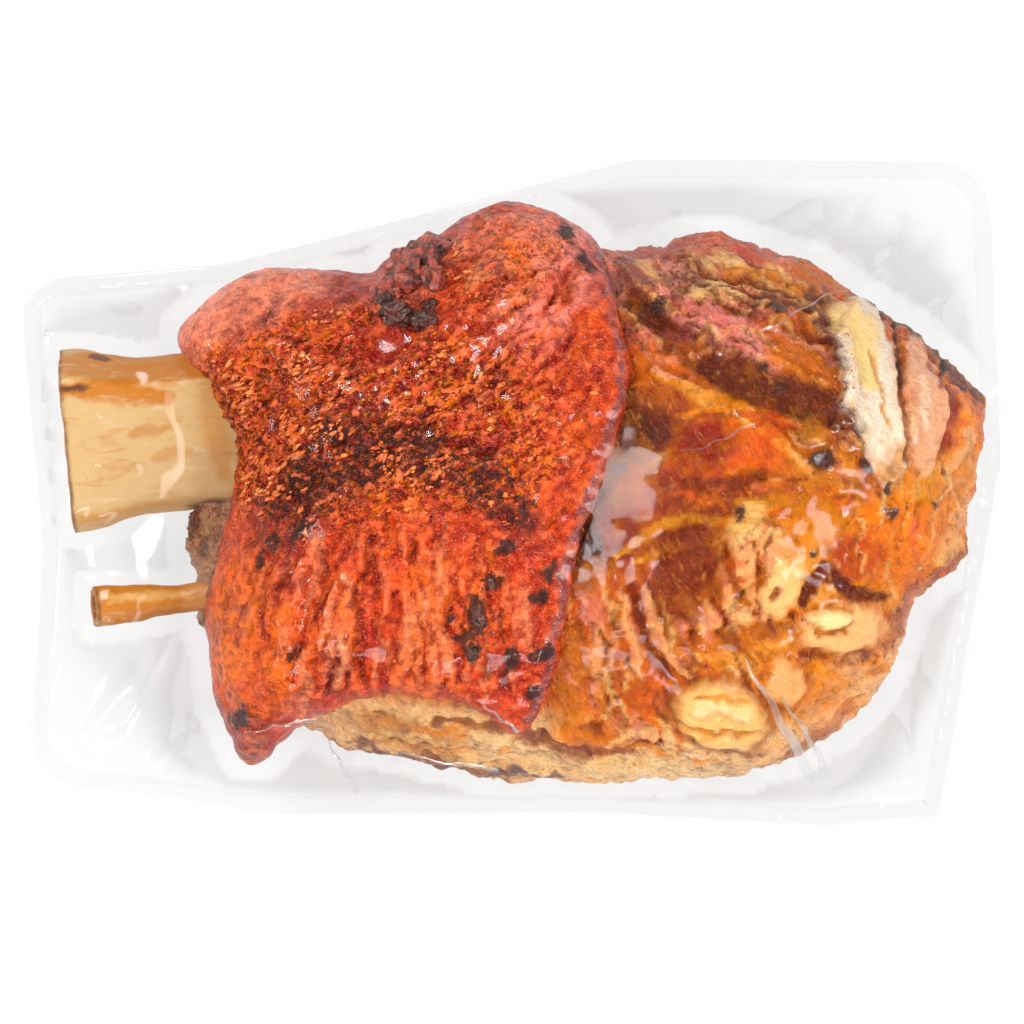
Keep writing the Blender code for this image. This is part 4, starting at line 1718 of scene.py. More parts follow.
    @staticmethod
    def _wrinkles(points: Array) -> Array:
        """Returns the height of the folds that fan out over the lower half of the skin.

        Args:
            points: places as rows of x, y and z in millimetres.

        Returns:
            The height in millimetres.
        """
        bent = spread(points, 3.2, 13.0)
        x, y = bent[:, 0] + 24, 46 - bent[:, 1]
        turn = np.degrees(np.arctan2(x, np.maximum(y, 4)))
        sweep = np.stack([turn * 0.85, y * 0.16, points[:, 2] * 0.2], axis=1)
        share = smooth_step(-points[:, 1], -6, 14)
        fine = np.stack([turn * 1.9, y * 0.3, points[:, 2] * 0.3], axis=1)
        return share * (1.2 * COARSE.ridges(sweep, 6.0, 1) + 0.35 * FINE.ridges(fine, 4.6, 1) - 0.7)


# Bones, ragged meat, char and crumbs


@dataclass
class Bone:
    """A sawn bone that stands out of the meat, with its marrow."""

    name: str
    start: Point
    root: Point
    level: float
    section: tuple[Point, ...]
    flare: float
    shaft: float
    hollow: float
    slant: float
    edge: Paint
    base: Paint
    placing: Placing
    marks: tuple[Feature, ...] = ()
    sharpness: float = 1.3
    pieces: list[Skin] = field(default_factory=list)

    def _section(self, side: Array, up: Array) -> Array:
        """Measures the distance outside the bone's cross-section, with its corners rounded.

        Args:
            side: places across the bone.
            up: places above its axis.

        Returns:
            The distance, negative inside.
        """
        corners = np.array(self.section)
        total = 0
        for a, b in zip(corners, np.roll(corners, -1, axis=0)):
            edge = (b - a) / np.linalg.norm(b - a)
            normal = np.array([edge[1], -edge[0]])
            total = total + np.exp(self.sharpness * ((side - a[0]) * normal[0] + (up - a[1]) * normal[1]))
        return np.log(total) / self.sharpness

    def build(self) -> None:
        """Shapes, paints and places the bone and its marrow."""
        axis = np.array(self.root) - np.array(self.start)
        length = float(np.linalg.norm(axis))
        axis = axis / length
        half = float(np.abs(np.array(self.section)).max()) * self.flare + 2
        block = Block((-3.0, -half, -half), (length, half, half), 0.5 if half > 10 else 0.35)
        along, side, up = np.meshgrid(*block.axes(), indexing="ij")
        swell = self.shaft + (self.flare - self.shaft) * smooth_step(-along, -16, -2)
        solid = -self._section(side / swell, up / swell) * swell
        cut = along - self.slant * up
        bore = -self._section(side / swell / self.hollow, up / swell / self.hollow) * swell * self.hollow
        bone = np.minimum(solid, np.minimum(cut, length - 1 - along))
        bone = np.minimum(bone, np.maximum(-bore, cut - 4))
        marrow = np.minimum(np.minimum(bore + 0.5, cut - 1.2), 7 - cut)
        soft = CrustFinish(Finish.MARROW, (150, 78, 44), (70, 30, 22), 1.4, 0.5, 0.6)
        finishes = (BoneFinish().material(), soft.material())
        for name, samples, material in zip((self.name, self.name + "_marrow"), (bone, marrow), finishes):
            skin = block.surface(samples)
            skin.relax(2)
            local = skin.points.copy()
            pitted = 0.3 if "marrow" in name else 0.06
            skin.push(0.3 * COARSE.layers(local + 20, 7.0, 2) + pitted * FINE.layers(local + 9, 1.6, 2))
            along, side, up = skin.points.T
            across = np.array([-axis[1], axis[0]])
            x = self.start[0] + along * axis[0] + side * across[0]
            y = self.start[1] + along * axis[1] + side * across[1]
            skin.points = np.stack([x, y, self.level + up], axis=1)
            self._paint(skin, local)
            self.pieces.append(skin)
            self.placing.build(name, skin, material)

    def _paint(self, skin: Skin, local: Array) -> None:
        """Paints the bone: ivory, browned at the saw cut, with its own marks.

        Args:
            skin: the bone's surface in the frame.
            local: the same points along, across and above the bone's axis.
        """
        surface = Surface(self.base, self.marks, 0.6)
        surface.paint(skin, np.ones(len(local)))
        cut = local[:, 0] - self.slant * local[:, 2]
        rim = smooth_step(cut + 0.25 * FINE.layers(local, 2.0, 2), 1.1, 0.2)
        face = smooth_step(cut, 0.35, 0.1)
        rim = (rim - 0.75 * face)[:, None]
        skin.layers["tone"] = skin.layers["tone"] * (1 - rim) + np.array(srgb(self.edge)) * rim


def shin_bone(placing: Placing) -> Bone:
    """Returns the thick shin bone.

    Args:
        placing: how it is placed.

    Returns:
        The bone, not yet built.
    """
    marks = (
        Feature("upper face", ((-89, 25.6), (-60, 24.6)), 3.6, (212, 136, 72), 0.8, soft=0.9),
        Feature("stain", ((-88, 20.4), (-76, 20), (-68, 18.8)), 2.4, (204, 120, 48), 0.8, soft=1.1),
        Feature("dark mark", ((-86.6, 20.6),), 0.8, (92, 50, 36), 0.9, length=3.2, soft=0.9),
        Feature("dark mark", ((-83.6, 26.8), (-79.6, 26.8)), 0.6, (96, 52, 40), 0.8),
        Feature("smear", ((-75, 11.6), (-68, 13)), 1.3, (200, 128, 60), 0.55, soft=1.2),
        Feature("smear", ((-71, 7.6), (-63, 8.6)), 1.1, (206, 140, 76), 0.5, soft=1.2),
        Feature("root stain", ((-60, 24), (-57, 4)), 3, (214, 150, 84), 0.6, soft=1.2),
        Feature("foot", ((-86, -5.6), (-60, -2.4)), 1.8, (222, 168, 104), 0.6),
    )
    section = (
        (-17.4, -3.0), (-11.0, -12.0), (2.0, -14.5), (14.0, -10.0),
        (17.6, 3.0), (11.0, 13.6), (-3.0, 9.0), (-15.0, 4.0),
    )
    return Bone(
        "shin_bone", start=(-88.6, 10.2), root=(-44.0, 13.8), level=29.5, section=section, flare=1.09,
        shaft=0.92, hollow=0.62, slant=0.02, edge=(116, 62, 58), base=(226, 190, 140), placing=placing,
        marks=marks,
    )


def splint_bone(placing: Placing) -> Bone:
    """Returns the thin splint bone.

    Args:
        placing: how it is placed.

    Returns:
        The bone, not yet built.
    """
    turns = np.linspace(0, 2 * math.pi, 12, endpoint=False)
    section = tuple((4.9 * math.cos(t), 4.1 * math.sin(t)) for t in turns)
    marks = (
        Feature("streak", ((-80, -21), (-64, -20)), 1.1, (238, 190, 124), 0.7),
        Feature("shade", ((-82, -25.4), (-62, -23.6)), 1.4, (204, 128, 66), 0.7),
    )
    return Bone(
        "splint_bone", start=(-83.2, -22.7), root=(-48.0, -19.4), level=29.5, section=section, flare=1.0,
        shaft=0.74, hollow=0.55, slant=0.28, edge=(104, 48, 30), base=(214, 144, 82), placing=placing,
        marks=marks,
    )


@dataclass
class RaggedMeat:
    """The torn meat end between the two bones."""

    placing: Placing
    lumps: tuple[tuple[float, float, float, float], ...] = (
        (-57.5, -7.5, 30, 4.6), (-60, -4.5, 29, 3.4), (-60.6, -10.5, 28, 3.4), (-58.4, -14, 29.5, 3.4),
        (-57.4, -19.5, 31, 3.6), (-58.4, -24, 27, 3.6), (-57, -14, 24, 6), (-55, -8, 24, 7),
        (-56.5, 2, 16, 6), (-57, 20, 14, 6), (-54, 10, 13, 7),
    )
    dark_edges: tuple[Point, ...] = (
        (-62.6, -3.4), (-63.4, -6.6), (-61.2, -11.6), (-58.4, -17.4), (-57, -15), (-60.6, -24.4),
    )
    pieces: list[Skin] = field(default_factory=list)

    def build(self) -> None:
        """Shapes, paints and places the torn end."""
        block = Block((-68.0, -33.0, 3.0), (-44.0, 30.0, 42.0), 0.5)
        x, y, z = np.meshgrid(*block.axes(), indexing="ij")
        solid = None
        for cx, cy, cz, radius in self.lumps:
            lump = radius - np.sqrt((x - cx) ** 2 + (y - cy) ** 2 + ((z - cz) / 1.3) ** 2)
            solid = lump if solid is None else joined(solid, lump, 2.5)
        skin = block.surface(solid)
        skin.relax(2)
        skin.push(1.3 * COARSE.layers(skin.points, 4.2, 3, 0.6) + 0.6 * FINE.ridges(skin.points, 2.0, 2))
        marks = tuple(
            Feature("dark edge", ((x, y),), 1.4, (84, 46, 38), 0.85, length=2, angle=70, rough=1)
            for x, y in self.dark_edges
        )
        surface = Surface((172, 128, 98), marks, 0.8)
        surface.paint(skin, np.ones(len(skin.points)))
        skin.layers["rough"] = np.full(len(skin.points), 0.9)
        self.pieces.append(skin)
        self.placing.build("ragged_meat", skin, MeatFinish().material())


@dataclass
class HeightMap:
    """The highest and lowest points of what lies in the pouch, on a plan."""

    low: Point = (-103.0, -71.0)
    high: Point = (103.0, 73.0)
    step: float = 0.7
    places: Array = field(init=False)
    top: Array = field(init=False)
    foot: Array = field(init=False)
    filled: Array = field(init=False)

    def __post_init__(self) -> None:
        """Lays out the plan, with nothing on it."""
        x = np.arange(self.low[0], self.high[0], self.step)
        y = np.arange(self.low[1], self.high[1], self.step)
        self.places = np.stack(np.meshgrid(x, y, indexing="ij"), axis=-1)
        self.top = np.full(self.places.shape[:2], -np.inf)
        self.foot = np.full(self.places.shape[:2], np.inf)
        self.settle(0)

    def settle(self, passes: int = 2) -> None:
        """Closes the pinholes of the map, and keeps a version without empty places.

        Args:
            passes: how many times the pinholes shrink by one sample all round.
        """
        rows, columns = self.top.shape
        shifts = [(slice(i, i + rows), slice(j, j + columns)) for i, j in np.ndindex(3, 3)]
        for _ in range(passes):
            above = np.pad(self.top, 1, mode="constant", constant_values=-np.inf)
            below = np.pad(self.foot, 1, mode="constant", constant_values=np.inf)
            highest = np.max([above[s] for s in shifts], axis=0)
            lowest = np.min([below[s] for s in shifts], axis=0)
            self.top = np.where(np.isfinite(self.top), self.top, highest)
            self.foot = np.where(np.isfinite(self.foot), self.foot, lowest)
        self.filled = np.where(np.isfinite(self.top), self.top, MEAT_MIDDLE)

    def add(self, skin: Skin) -> None:
        """Takes in a piece.

        Args:
            skin: the piece's surface.
        """
        spots = np.round((skin.points[:, :2] - np.array(self.low)) / self.step).astype(int)
        spots = np.clip(spots, 0, np.array(self.top.shape) - 1)
        np.maximum.at(self.top, tuple(spots.T), skin.points[:, 2])
        np.minimum.at(self.foot, tuple(spots.T), skin.points[:, 2])

    def read(self, values: Array, places: Array) -> Array:
        """Reads a map between its samples.

        Args:
            values: the map.
            places: rows of x and y.

        Returns:
            One value for each place.
        """
        spots = (places - np.array(self.low)) / self.step
        spots = np.clip(spots, 0, np.array(values.shape) - 1.001)
        cell = spots.astype(int)
        u, v = (spots - cell).T
        i, j = cell.T
        return (
            values[i, j] * (1 - u) * (1 - v)
            + values[i + 1, j] * u * (1 - v)
            + values[i, j + 1] * (1 - u) * v
            + values[i + 1, j + 1] * u * v
        )


def pebble(detail: int) -> tuple[Array, Array]:
    """Returns the points and triangles of a ball of radius 1.

    Args:
        detail: how finely it is divided.

    Returns:
        The points, and the triangles as rows of point indices.
    """
    shape = bmesh.new()
    bmesh.ops.create_icosphere(shape, subdivisions=detail, radius=1)
    points = np.array([tuple(v.co) for v in shape.verts])
    faces = np.array([[v.index for v in f.verts] for f in shape.faces])
    shape.free()
    return points, faces


def scattered(places: Sequence[tuple], detail: int, rough: float, seed: int) -> Skin:
    """Makes one surface of many small lumps.

    Args:
        places: for each lump its x, y, z, its three half sizes and its turn in degrees.
        detail: how finely each is divided.
        rough: how uneven they are, against their size.
        seed: which of the many unevennesses they have.

    Returns:
        The lumps as one skin.
    """
    ball, faces = pebble(detail)
    points, quads = [], []
    for k, (x, y, z, a, b, c, turn) in enumerate(places):
        wobble = 1 + rough * FINE.layers(ball * 1.1 + seed + k * 3.7, 1.0, 2)
        shape = ball * wobble[:, None] * np.array([a, b, c])
        spin = math.radians(turn)
        u = shape[:, 0] * math.cos(spin) - shape[:, 1] * math.sin(spin)
        v = shape[:, 0] * math.sin(spin) + shape[:, 1] * math.cos(spin)
        points.append(np.stack([u + x, v + y, shape[:, 2] + z], axis=1))
        quads.append(faces + k * len(ball))
    return Skin(np.concatenate(points), np.concatenate(quads))


# Lumps of char and of the blistered knob: each with its place, its three half sizes and its turn
CHAR_LUMPS: tuple[tuple[float, ...], ...] = (
    (-22.4, 35.4, 3, 2.4, 2.2, 20), (-17.2, 33.4, 2.6, 2.2, 2, -20), (-19.6, 34, 2.2, 1.8, 1.8, 0),
    (-15.6, 36.4, 1.8, 1.4, 1.4, 50), (-18.6, 48, 1.6, 1.2, 1.2, 10), (-24.4, 37.6, 1.6, 1.4, 1.4, 0),
    (15.7, -10.4, 2.4, 2.9, 1.5, 10), (16, -7.4, 1.3, 1.6, 1, 0),
)
KNOB_LUMPS: tuple[tuple[float, ...], ...] = (
    (-21.2, 40.6, 5.4, 4.2, 3, 70), (-18, 45.6, 4.6, 3.4, 2.4, 50), (-24.4, 38.6, 3.2, 2.6, 2, 0),
    (-15.4, 41.6, 3.4, 2.8, 1.8, 80), (-21.6, 46, 2.6, 2.2, 1.8, 20), (-12.6, 47.8, 3, 2, 1.4, 30),
)


@dataclass
class Toppings:
    """The charred lumps and golden crumbs that stand out of the surface."""

    placing: Placing
    heights: HeightMap
    crumbs: int = 560
    pieces: list[Skin] = field(default_factory=list)

    def _height(self, x: float, y: float) -> float:
        """Returns the height of the surface at a place."""
        return float(self.heights.read(self.heights.filled, np.array([[x, y]]))[0])

    def build(self) -> None:
        """Places the lumps and the crumbs."""
        marks = [*SKIN_CHAR[:3], *KNUCKLE_CHAR[:2]]
        spots = [(x, y, self._height(x, y) - 0.2, b * 0.7, a * 0.7, 0.6, turn) for x, y, a, b, turn in marks]
        spots += [(x, y, self._height(x, y) - 0.2, a, b, c, turn) for x, y, a, b, c, turn in CHAR_LUMPS]
        knob = [(x, y, self._height(x, y) - 0.5, a, b, c, turn) for x, y, a, b, c, turn in KNOB_LUMPS]
        lumps = scattered(knob, 5, 0.5, 14)
        material = CrustFinish(Finish.KNOB, (190, 84, 58), (66, 28, 28), 2.6, 0.3, 0.9).material()
        self.placing.build("blistered_knob", lumps, material)
        self.pieces.append(lumps)
        char = scattered(spots, 4, 0.42, 5)
        material = CrustFinish(Finish.CHAR, (104, 46, 30), (30, 12, 8), 1.1, 0.26, 0.35).material()
        self.placing.build("charred_lumps", char, material)
        golden = self._crumbs()
        material = CrustFinish(Finish.CRUMB, (244, 140, 62), (196, 70, 32), 5.0, 0.3, 0.25).material()
        self.placing.build("golden_crumbs", golden, material)
        self.pieces += [char, golden]

    def _crumbs(self) -> Skin:
        """Scatters the golden crumbs where the skin is most blistered.

        Returns:
            All of the crumbs as one skin.
        """
        chance = np.random.default_rng(77)
        found = []
        while len(found) < self.crumbs:
            spots = chance.uniform((-64, -46), (20, 57), (4000, 2))
            heights = self.heights.read(self.heights.filled, spots)
            points = np.column_stack([spots, heights])
            inner = depth_inside(spots, smooth_loop(CAP_OUTLINE))
            rows = FINE.ridges(Hock.rows(points), 3.4, 1)
            patch = smooth_step(COARSE.layers(points + 80, 11.0, 2), -0.35, 0.35)
            share = Hock.crumb_share(points) ** 1.5 * smooth_step(rows, 0.1, 0.75) * patch * (inner > 2.5)
            for x, y, z in points[chance.random(len(points)) < share * 0.5]:
                left = max(0.0, -x - 28) / 36
                size = 0.2 + 0.34 * chance.random() ** 3
                long = size * (1.1 + (1.0 + 2.0 * left) * chance.random())
                turn = 30 + 14 * left + chance.normal() * 20
                found.append((x, y, z + size * 0.1, long, size, size * 0.8, turn))
        return scattered(found[: self.crumbs], 2, 0.85, 9)


# The film


@dataclass(frozen=True)
class Crease:
    """A fold raised in the upper film."""

    path: tuple[Point, ...]
    height: float
    width: float


# A crease at least this wide is a rounded fold, and a narrower one is sharp
SOFT_FOLD = 1.5
CREASES: tuple[Crease, ...] = (
    Crease(((44, 52), (60, 58), (84, 60)), 1.6, 4),
    Crease(((72, 42), (82, 50), (88, 58)), 1.8, 3.2),
    Crease(((60, 48), (68, 56), (70, 62)), 1.5, 2.6),
    Crease(((24, 50), (32, 58), (34, 64)), 1.5, 2.8),
    Crease(((84, 32), (90, 42), (92, 56)), 1.4, 2.4),
    Crease(((-70, -30), (-80, -44), (-88, -54)), 1.6, 3),
    Crease(((-62, -44), (-68, -52), (-74, -60)), 1.6, 2.4),
    Crease(((-44, -52), (-20, -58), (6, -60)), 1.4, 2.2),
    Crease(((10, -60), (34, -62), (56, -60)), 1.2, 2),
    Crease(((80, -30), (86, -42), (84, -58)), 1.6, 3),
    Crease(((-92, 10), (-94, -8), (-92, -28)), 0.9, 2.2),
    Crease(((-60, 42), (-40, 47), (-24, 50)), 1, 1.8),
    Crease(((53, -29), (57, -40), (60, -48), (62.6, -57.6)), 1.5, 0.9),
    Crease(((56.6, -38), (61.6, -46), (64.4, -55)), 0.9, 0.8),
    Crease(((67.5, 40.6), (60.9, 38.4), (54.1, 34), (49.1, 31.4)), 0.9, 0.7),
    Crease(((-52.3, -47.4), (-45, -45.6), (-38.3, -44.4)), 0.7, 0.7),
    Crease(((-6.3, -40.4), (1.7, -46.6), (7.2, -41.4)), 0.7, 0.6),
    Crease(((-36.3, -48.4), (-33.6, -54), (-30.3, -60.4)), 1, 0.9),
    Crease(((-29.3, -48.4), (-16, -52.4), (-2.3, -54.8)), 0.8, 0.8),
    Crease(((-54.3, 41.6), (-59.3, 45.6)), 0.8, 0.9),
    Crease(((-65, 33), (-74, 38), (-84, 40)), 1.1, 1.2),
    Crease(((78.7, 32.6), (86, 38), (91, 44)), 1.2, 1.2),
    Crease(((70, 40), (76, 48), (79, 57)), 1.3, 1.4),
    Crease(((58, 47), (62, 54), (62, 62)), 1.1, 1.4),
    Crease(((30, 50), (27, 57), (28, 63)), 1.2, 1.2),
    Crease(((18, 47), (19, 54), (15, 61)), 0.9, 1),
    Crease(((94, 17), (96.5, 8), (95.8, -2)), 0.6, 0.8),
    Crease(((89, -14), (91.4, -24), (90, -36)), 0.9, 1.1),
    Crease(((74, -40), (79, -48), (81, -58)), 1, 1.4),
    Crease(((-89.3, 28.2), (-93.6, 33)), 0.9, 0.9),
    Crease(((-87.3, -7.4), (-92, -11)), 0.9, 0.9),
    Crease(((-61.3, -41.4), (-58, -48), (-55, -55)), 1, 0.9),
    Crease(((-50.6, -53), (-56, -57), (-64, -59)), 0.9, 0.9),
    Crease(((-84, -26), (-90, -34), (-92, -44)), 0.9, 1.2),
    Crease(((-66, -26), (-72, -38), (-80, -50)), 0.9, 1.2),
    Crease(((-20, 47), (-28, 50), (-40, 48)), 0.6, 0.8),
)


# Doubled pleats: each with its path, its greatest width and its height
PLEATS: tuple[tuple[tuple[Point, ...], float, float], ...] = (
    (((45.7, -32.4), (48.6, -37.4), (51.3, -41.4), (53.7, -45.8), (57.4, -52), (60.7, -57.8)), 2.6, 0.9),
    (((53, -40), (57, -45.4), (60.6, -51), (63.4, -57)), 1.6, 0.7),
    (((33, 8), (37.7, 8.9), (43, 11.2), (47.5, 13.8)), 0.4, 0.2),
    (((67.5, 40.6), (60.9, 38.4), (54.1, 34), (49.1, 31.4)), 0.6, 0.3),
    (((-29.3, -49), (-16, -52.8), (-2.3, -54.8)), 0.8, 0.5),
    (((-36.3, -48.4), (-33.6, -54), (-30.3, -60)), 1.2, 0.7),
    (((-52.3, -47.4), (-45, -45.6), (-38.3, -44.4)), 0.8, 0.4),
    (((-6.3, -40.4), (-2, -44), (1.7, -46.6)), 0.8, 0.4),
    (((-89.3, 28.2), (-93, 32.6)), 0.9, 0.5),
)

# Section across the sealed band: how far each ridge and valley is from the edge, and its height
BAND_SECTION: tuple[Point, ...] = (
    (0.15, 0.3), (0.5, 0.5), (1.2, 0.36), (2.0, 0.5), (2.8, 0.36), (3.4, 0.55), (3.8, 0.3),
)


@dataclass
class Pouch:
    """The clear vacuum pouch: an upper and a lower film, sealed together round their margin."""

    placing: Placing
    heights: HeightMap
    seal_height: float = 25.0
    droop: float = 5.0
    ripple: float = 0.9
    ripple_length: float = 62.0
    seal_width: float = 3.2
    drawing: int = 700
    weld_gap: float = 0.25
    thickness_over: float = 0.45
    thickness_under: float = 0.3
    table_gap: float = 0.12
    upper_cells: tuple[int, int] = (344, 236)
    lower_cells: tuple[int, int] = (150, 104)
    pleat_points: int = 40
    band_points: int = 900

    def seal_plane(self, places: Array) -> Array:
        """Returns the height of the sealed margin, which droops to the corners and ripples.

        Args:
            places: x and y in millimetres, along the last axis.

        Returns:
            The height in millimetres.
        """
        x, y = places[..., 0], places[..., 1]
        droop = self.droop * (x / 98.0) ** 2 * (y / 67.0) ** 2
        ripple = np.sin(2 * np.pi * x / self.ripple_length + 0.8) * (y / 67.0)
        return self.seal_height - droop + self.ripple * ripple

    def _drawn(self, contents: Array, seal: Array, sealed: Array, sign: int) -> Array:
        """Draws a film over its contents.

        Args:
            contents: the height of what it lies on, or an endless one where there is nothing.
            seal: the height of the margin.
            sealed: where the film is held at the margin.
            sign: 1 for the upper film and -1 for the lower one.

        Returns:
            The film's height.
        """
        film = np.where(np.isfinite(contents), contents, seal)
        rest = sign * contents
        for _ in range(self.drawing):
            around = np.pad(film, 1, mode="edge")
            mean = (around[:-2, 1:-1] + around[2:, 1:-1] + around[1:-1, :-2] + around[1:-1, 2:]) / 4
            film = sign * np.maximum(sign * mean, rest)
            film = np.where(sealed, seal, film)
        return film

    def _waves(self, places: Array, free: Array) -> Array:
        """Returns the height of the soft waves in the film where it hangs free.

        Args:
            places: the map's x and y.
            free: how freely the film hangs at each.

        Returns:
            The height in millimetres, as a map.
        """
        flat = places.reshape(-1, 2)
        turn = np.degrees(np.arctan2(flat[:, 1] + 2, flat[:, 0] * 0.72 - 4))
        reach = np.hypot(flat[:, 0] * 0.72, flat[:, 1])
        rays = np.column_stack([turn * 0.55, reach * 0.12, np.zeros(len(flat))])
        soft = np.column_stack([flat, np.zeros(len(flat))])
        outward = smooth_step(reach, 22.0, 40.0)
        waves = 1.3 * outward * COARSE.layers(rays, 7.0, 1) + 0.8 * COARSE.layers(soft + 13, 20.0, 1)
        waves += 0.34 * FINE.layers(soft, 12.0, 2, 0.4)
        cling = 0.17 * FINE.layers(soft + 5, 3.0, 2, 0.6)
        return waves.reshape(free.shape) * free + cling.reshape(free.shape) * (1 - free)

    def build(self) -> None:
        """Draws, creases and places both films, then the pleats and the sealed band."""
        heights = self.heights
        places = heights.places
        flat = places.reshape(-1, 2)
        inner = depth_inside(flat, pouch_loop()).reshape(places.shape[:2])
        seal = self.seal_plane(places)
        sealed = inner < self.seal_width
        top = np.where(np.isfinite(heights.top), blurred(heights.filled, 1) + self.thickness_over, -np.inf)
        foot = np.maximum(heights.foot - self.thickness_under, self.table_gap)
        upper = self._drawn(top, seal + self.weld_gap, sealed, 1)
        lower = self._drawn(foot, seal - self.weld_gap, sealed, -1)
        gap = np.where(np.isfinite(top), upper - top, upper - lower)
        free = smooth_step(gap, 0.4, 3.0) * smooth_step(inner, self.seal_width, self.seal_width + 6)
        loose = smooth_step(gap, 2.0, 8.0) * np.where(np.isfinite(top), 0.25, 1.0)
        calm = blurred(upper, 14)
        upper = blurred(upper, 3) * (1 - free) + calm * free
        upper = np.maximum(np.where(sealed, seal + self.weld_gap, upper), top + 0.1)
        upper = upper + self._waves(places, free)
        for crease in CREASES:
            distance, along = distance_to_path(flat, crease.path)
            power = 1.0 if crease.width < SOFT_FOLD else 2.0
            fade = smooth_step(np.minimum(along, 1 - along), -0.02, 0.2)
            ridge = np.exp(-((distance / crease.width) ** power)) * fade
            upper = upper + crease.height * ridge.reshape(upper.shape) * (inner > self.seal_width)
        lower = np.minimum(lower, upper - self.thickness_under)
        over, under = FilmFinish(Finish.UPPER_FILM), FilmFinish(Finish.LOWER_FILM, 0.94, 0.86)
        self._sheet("film_upper", upper, loose, self.upper_cells, over, True)
        self._sheet("film_lower", lower, loose, self.lower_cells, under, False)
        self._pleats(upper)
        self._band(seal)

    def _sheet(
        self, name: str, height: Array, loose: Array, cells: tuple[int, int], finish: FilmFinish, top: bool
    ) -> None:
        """Places one film.

        Args:
            name: the piece's name.
            height: its height map.
            loose: how freely it hangs, as a map.
            cells: how finely it is divided along and across.
            finish: its finish.
            top: whether it faces up.
        """
        grid = plan_grid(*cells)
        flat = grid.reshape(-1, 2)
        points = np.column_stack([flat, self.heights.read(height, flat)])
        rows, columns = grid.shape[:2]
        index = np.arange(rows * columns).reshape(rows, columns)
        corners = [index[:-1, :-1], index[:-1, 1:], index[1:, 1:], index[1:, :-1]]
        faces = np.stack(corners, axis=-1).reshape(-1, 4)
        if not top:
            faces = faces[:, ::-1]
        skin = Skin(points, faces, {"free": self.heights.read(loose, flat)})
        piece = self.placing.build(name, skin, finish.material())
        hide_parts(NODE)

    def _pleats(self, film: Array) -> None:
        """Places the doubled pleats, where the film is folded on itself.

        Args:
            film: the upper film's height map.
        """
        points, faces = [], []
        for path, wide, tall in PLEATS:
            line = evenly([Vector(p) for p in path], self.pleat_points)
            ahead = np.gradient(line, axis=0)
            ahead /= np.linalg.norm(ahead, axis=1, keepdims=True)
            side = np.stack([-ahead[:, 1], ahead[:, 0]], axis=1)
            share = np.linspace(0, 1, len(line))
            spread_out = wide * (0.25 + 0.75 * share)[:, None]
            wander = 0.25 * np.sin(share * 17 + wide)[:, None]
            start = sum(len(p) for p in points)
            rows = []
            for across, up in ((-1.0, 0.0), (-0.55, 0.9), (-0.1, 0.25), (0.2, 1.0), (0.6, 0.3), (1.0, 0.0)):
                ring = line + side * (across * spread_out / 2 + wander)
                rows.append(np.column_stack([ring, self.heights.read(film, ring) + 0.15 + tall * up]))
            points.append(np.concatenate(rows))
            for r in range(len(rows) - 1):
                k = start + r * len(line) + np.arange(len(line) - 1)
                faces.append(np.stack([k, k + 1, k + 1 + len(line), k + len(line)], axis=1)[:, ::-1])
        whole = np.concatenate(points)
        skin = Skin(whole, np.concatenate(faces), {"free": np.ones(len(whole))})
        finish = FilmFinish(Finish.PLEAT, 0.94, 0.8, 0.5, 0.3, 0.2)
        self.placing.build("film_pleats", skin, finish.material())

    def _band(self, seal: Array) -> None:
        """Places the pressed band along the margin, where the films are welded.

        Args:
            seal: the height of the margin, as a map.
        """
        loop = evenly([Vector(p) for p in (*pouch_loop(), pouch_loop()[0])], self.band_points + 1)[:-1]
        ahead = np.roll(loop, -3, axis=0) - np.roll(loop, 3, axis=0)
        ahead /= np.linalg.norm(ahead, axis=1, keepdims=True)
        inward = np.stack([ahead[:, 1], -ahead[:, 0]], axis=1)
        rings = []
        for reach, lift in BAND_SECTION:
            ring = loop + inward * reach
            rings.append(np.column_stack([ring, self.heights.read(seal, ring) + lift]))
        points = np.concatenate(rings)
        count = len(loop)
        around = np.arange(count)
        faces = [
            np.stack([k * count + around, (k + 1) * count + around, (k + 1) * count + (around + 1) % count,
                      k * count + (around + 1) % count], axis=1)[:, ::-1]
            for k in range(len(rings) - 1)
        ]
        skin = Skin(points, np.concatenate(faces), {"free": np.full(len(points), 0.6)})
        finish = FilmFinish(Finish.BAND, 0.98, 0.9, 0.5, 0.14, 0.006)
        self.placing.build("sealed_band", skin, finish.material())


# The studio


# Each lamp's place and its width and height, in metres, and its power, in watts
LAMPS: dict[str, tuple[tuple[float, float, float], tuple[float, float], float]] = {
    "key": ((-0.4, 0.5, 0.78), (0.24, 0.24), 8.0),
    "right": ((0.6, -0.12, 0.62), (0.16, 0.5), 6.4),
    "left": ((-0.66, -0.2, 0.55), (0.5, 0.1), 2.4),
    "front": ((0.05, -0.76, 0.62), (0.6, 0.12), 4.2),
}


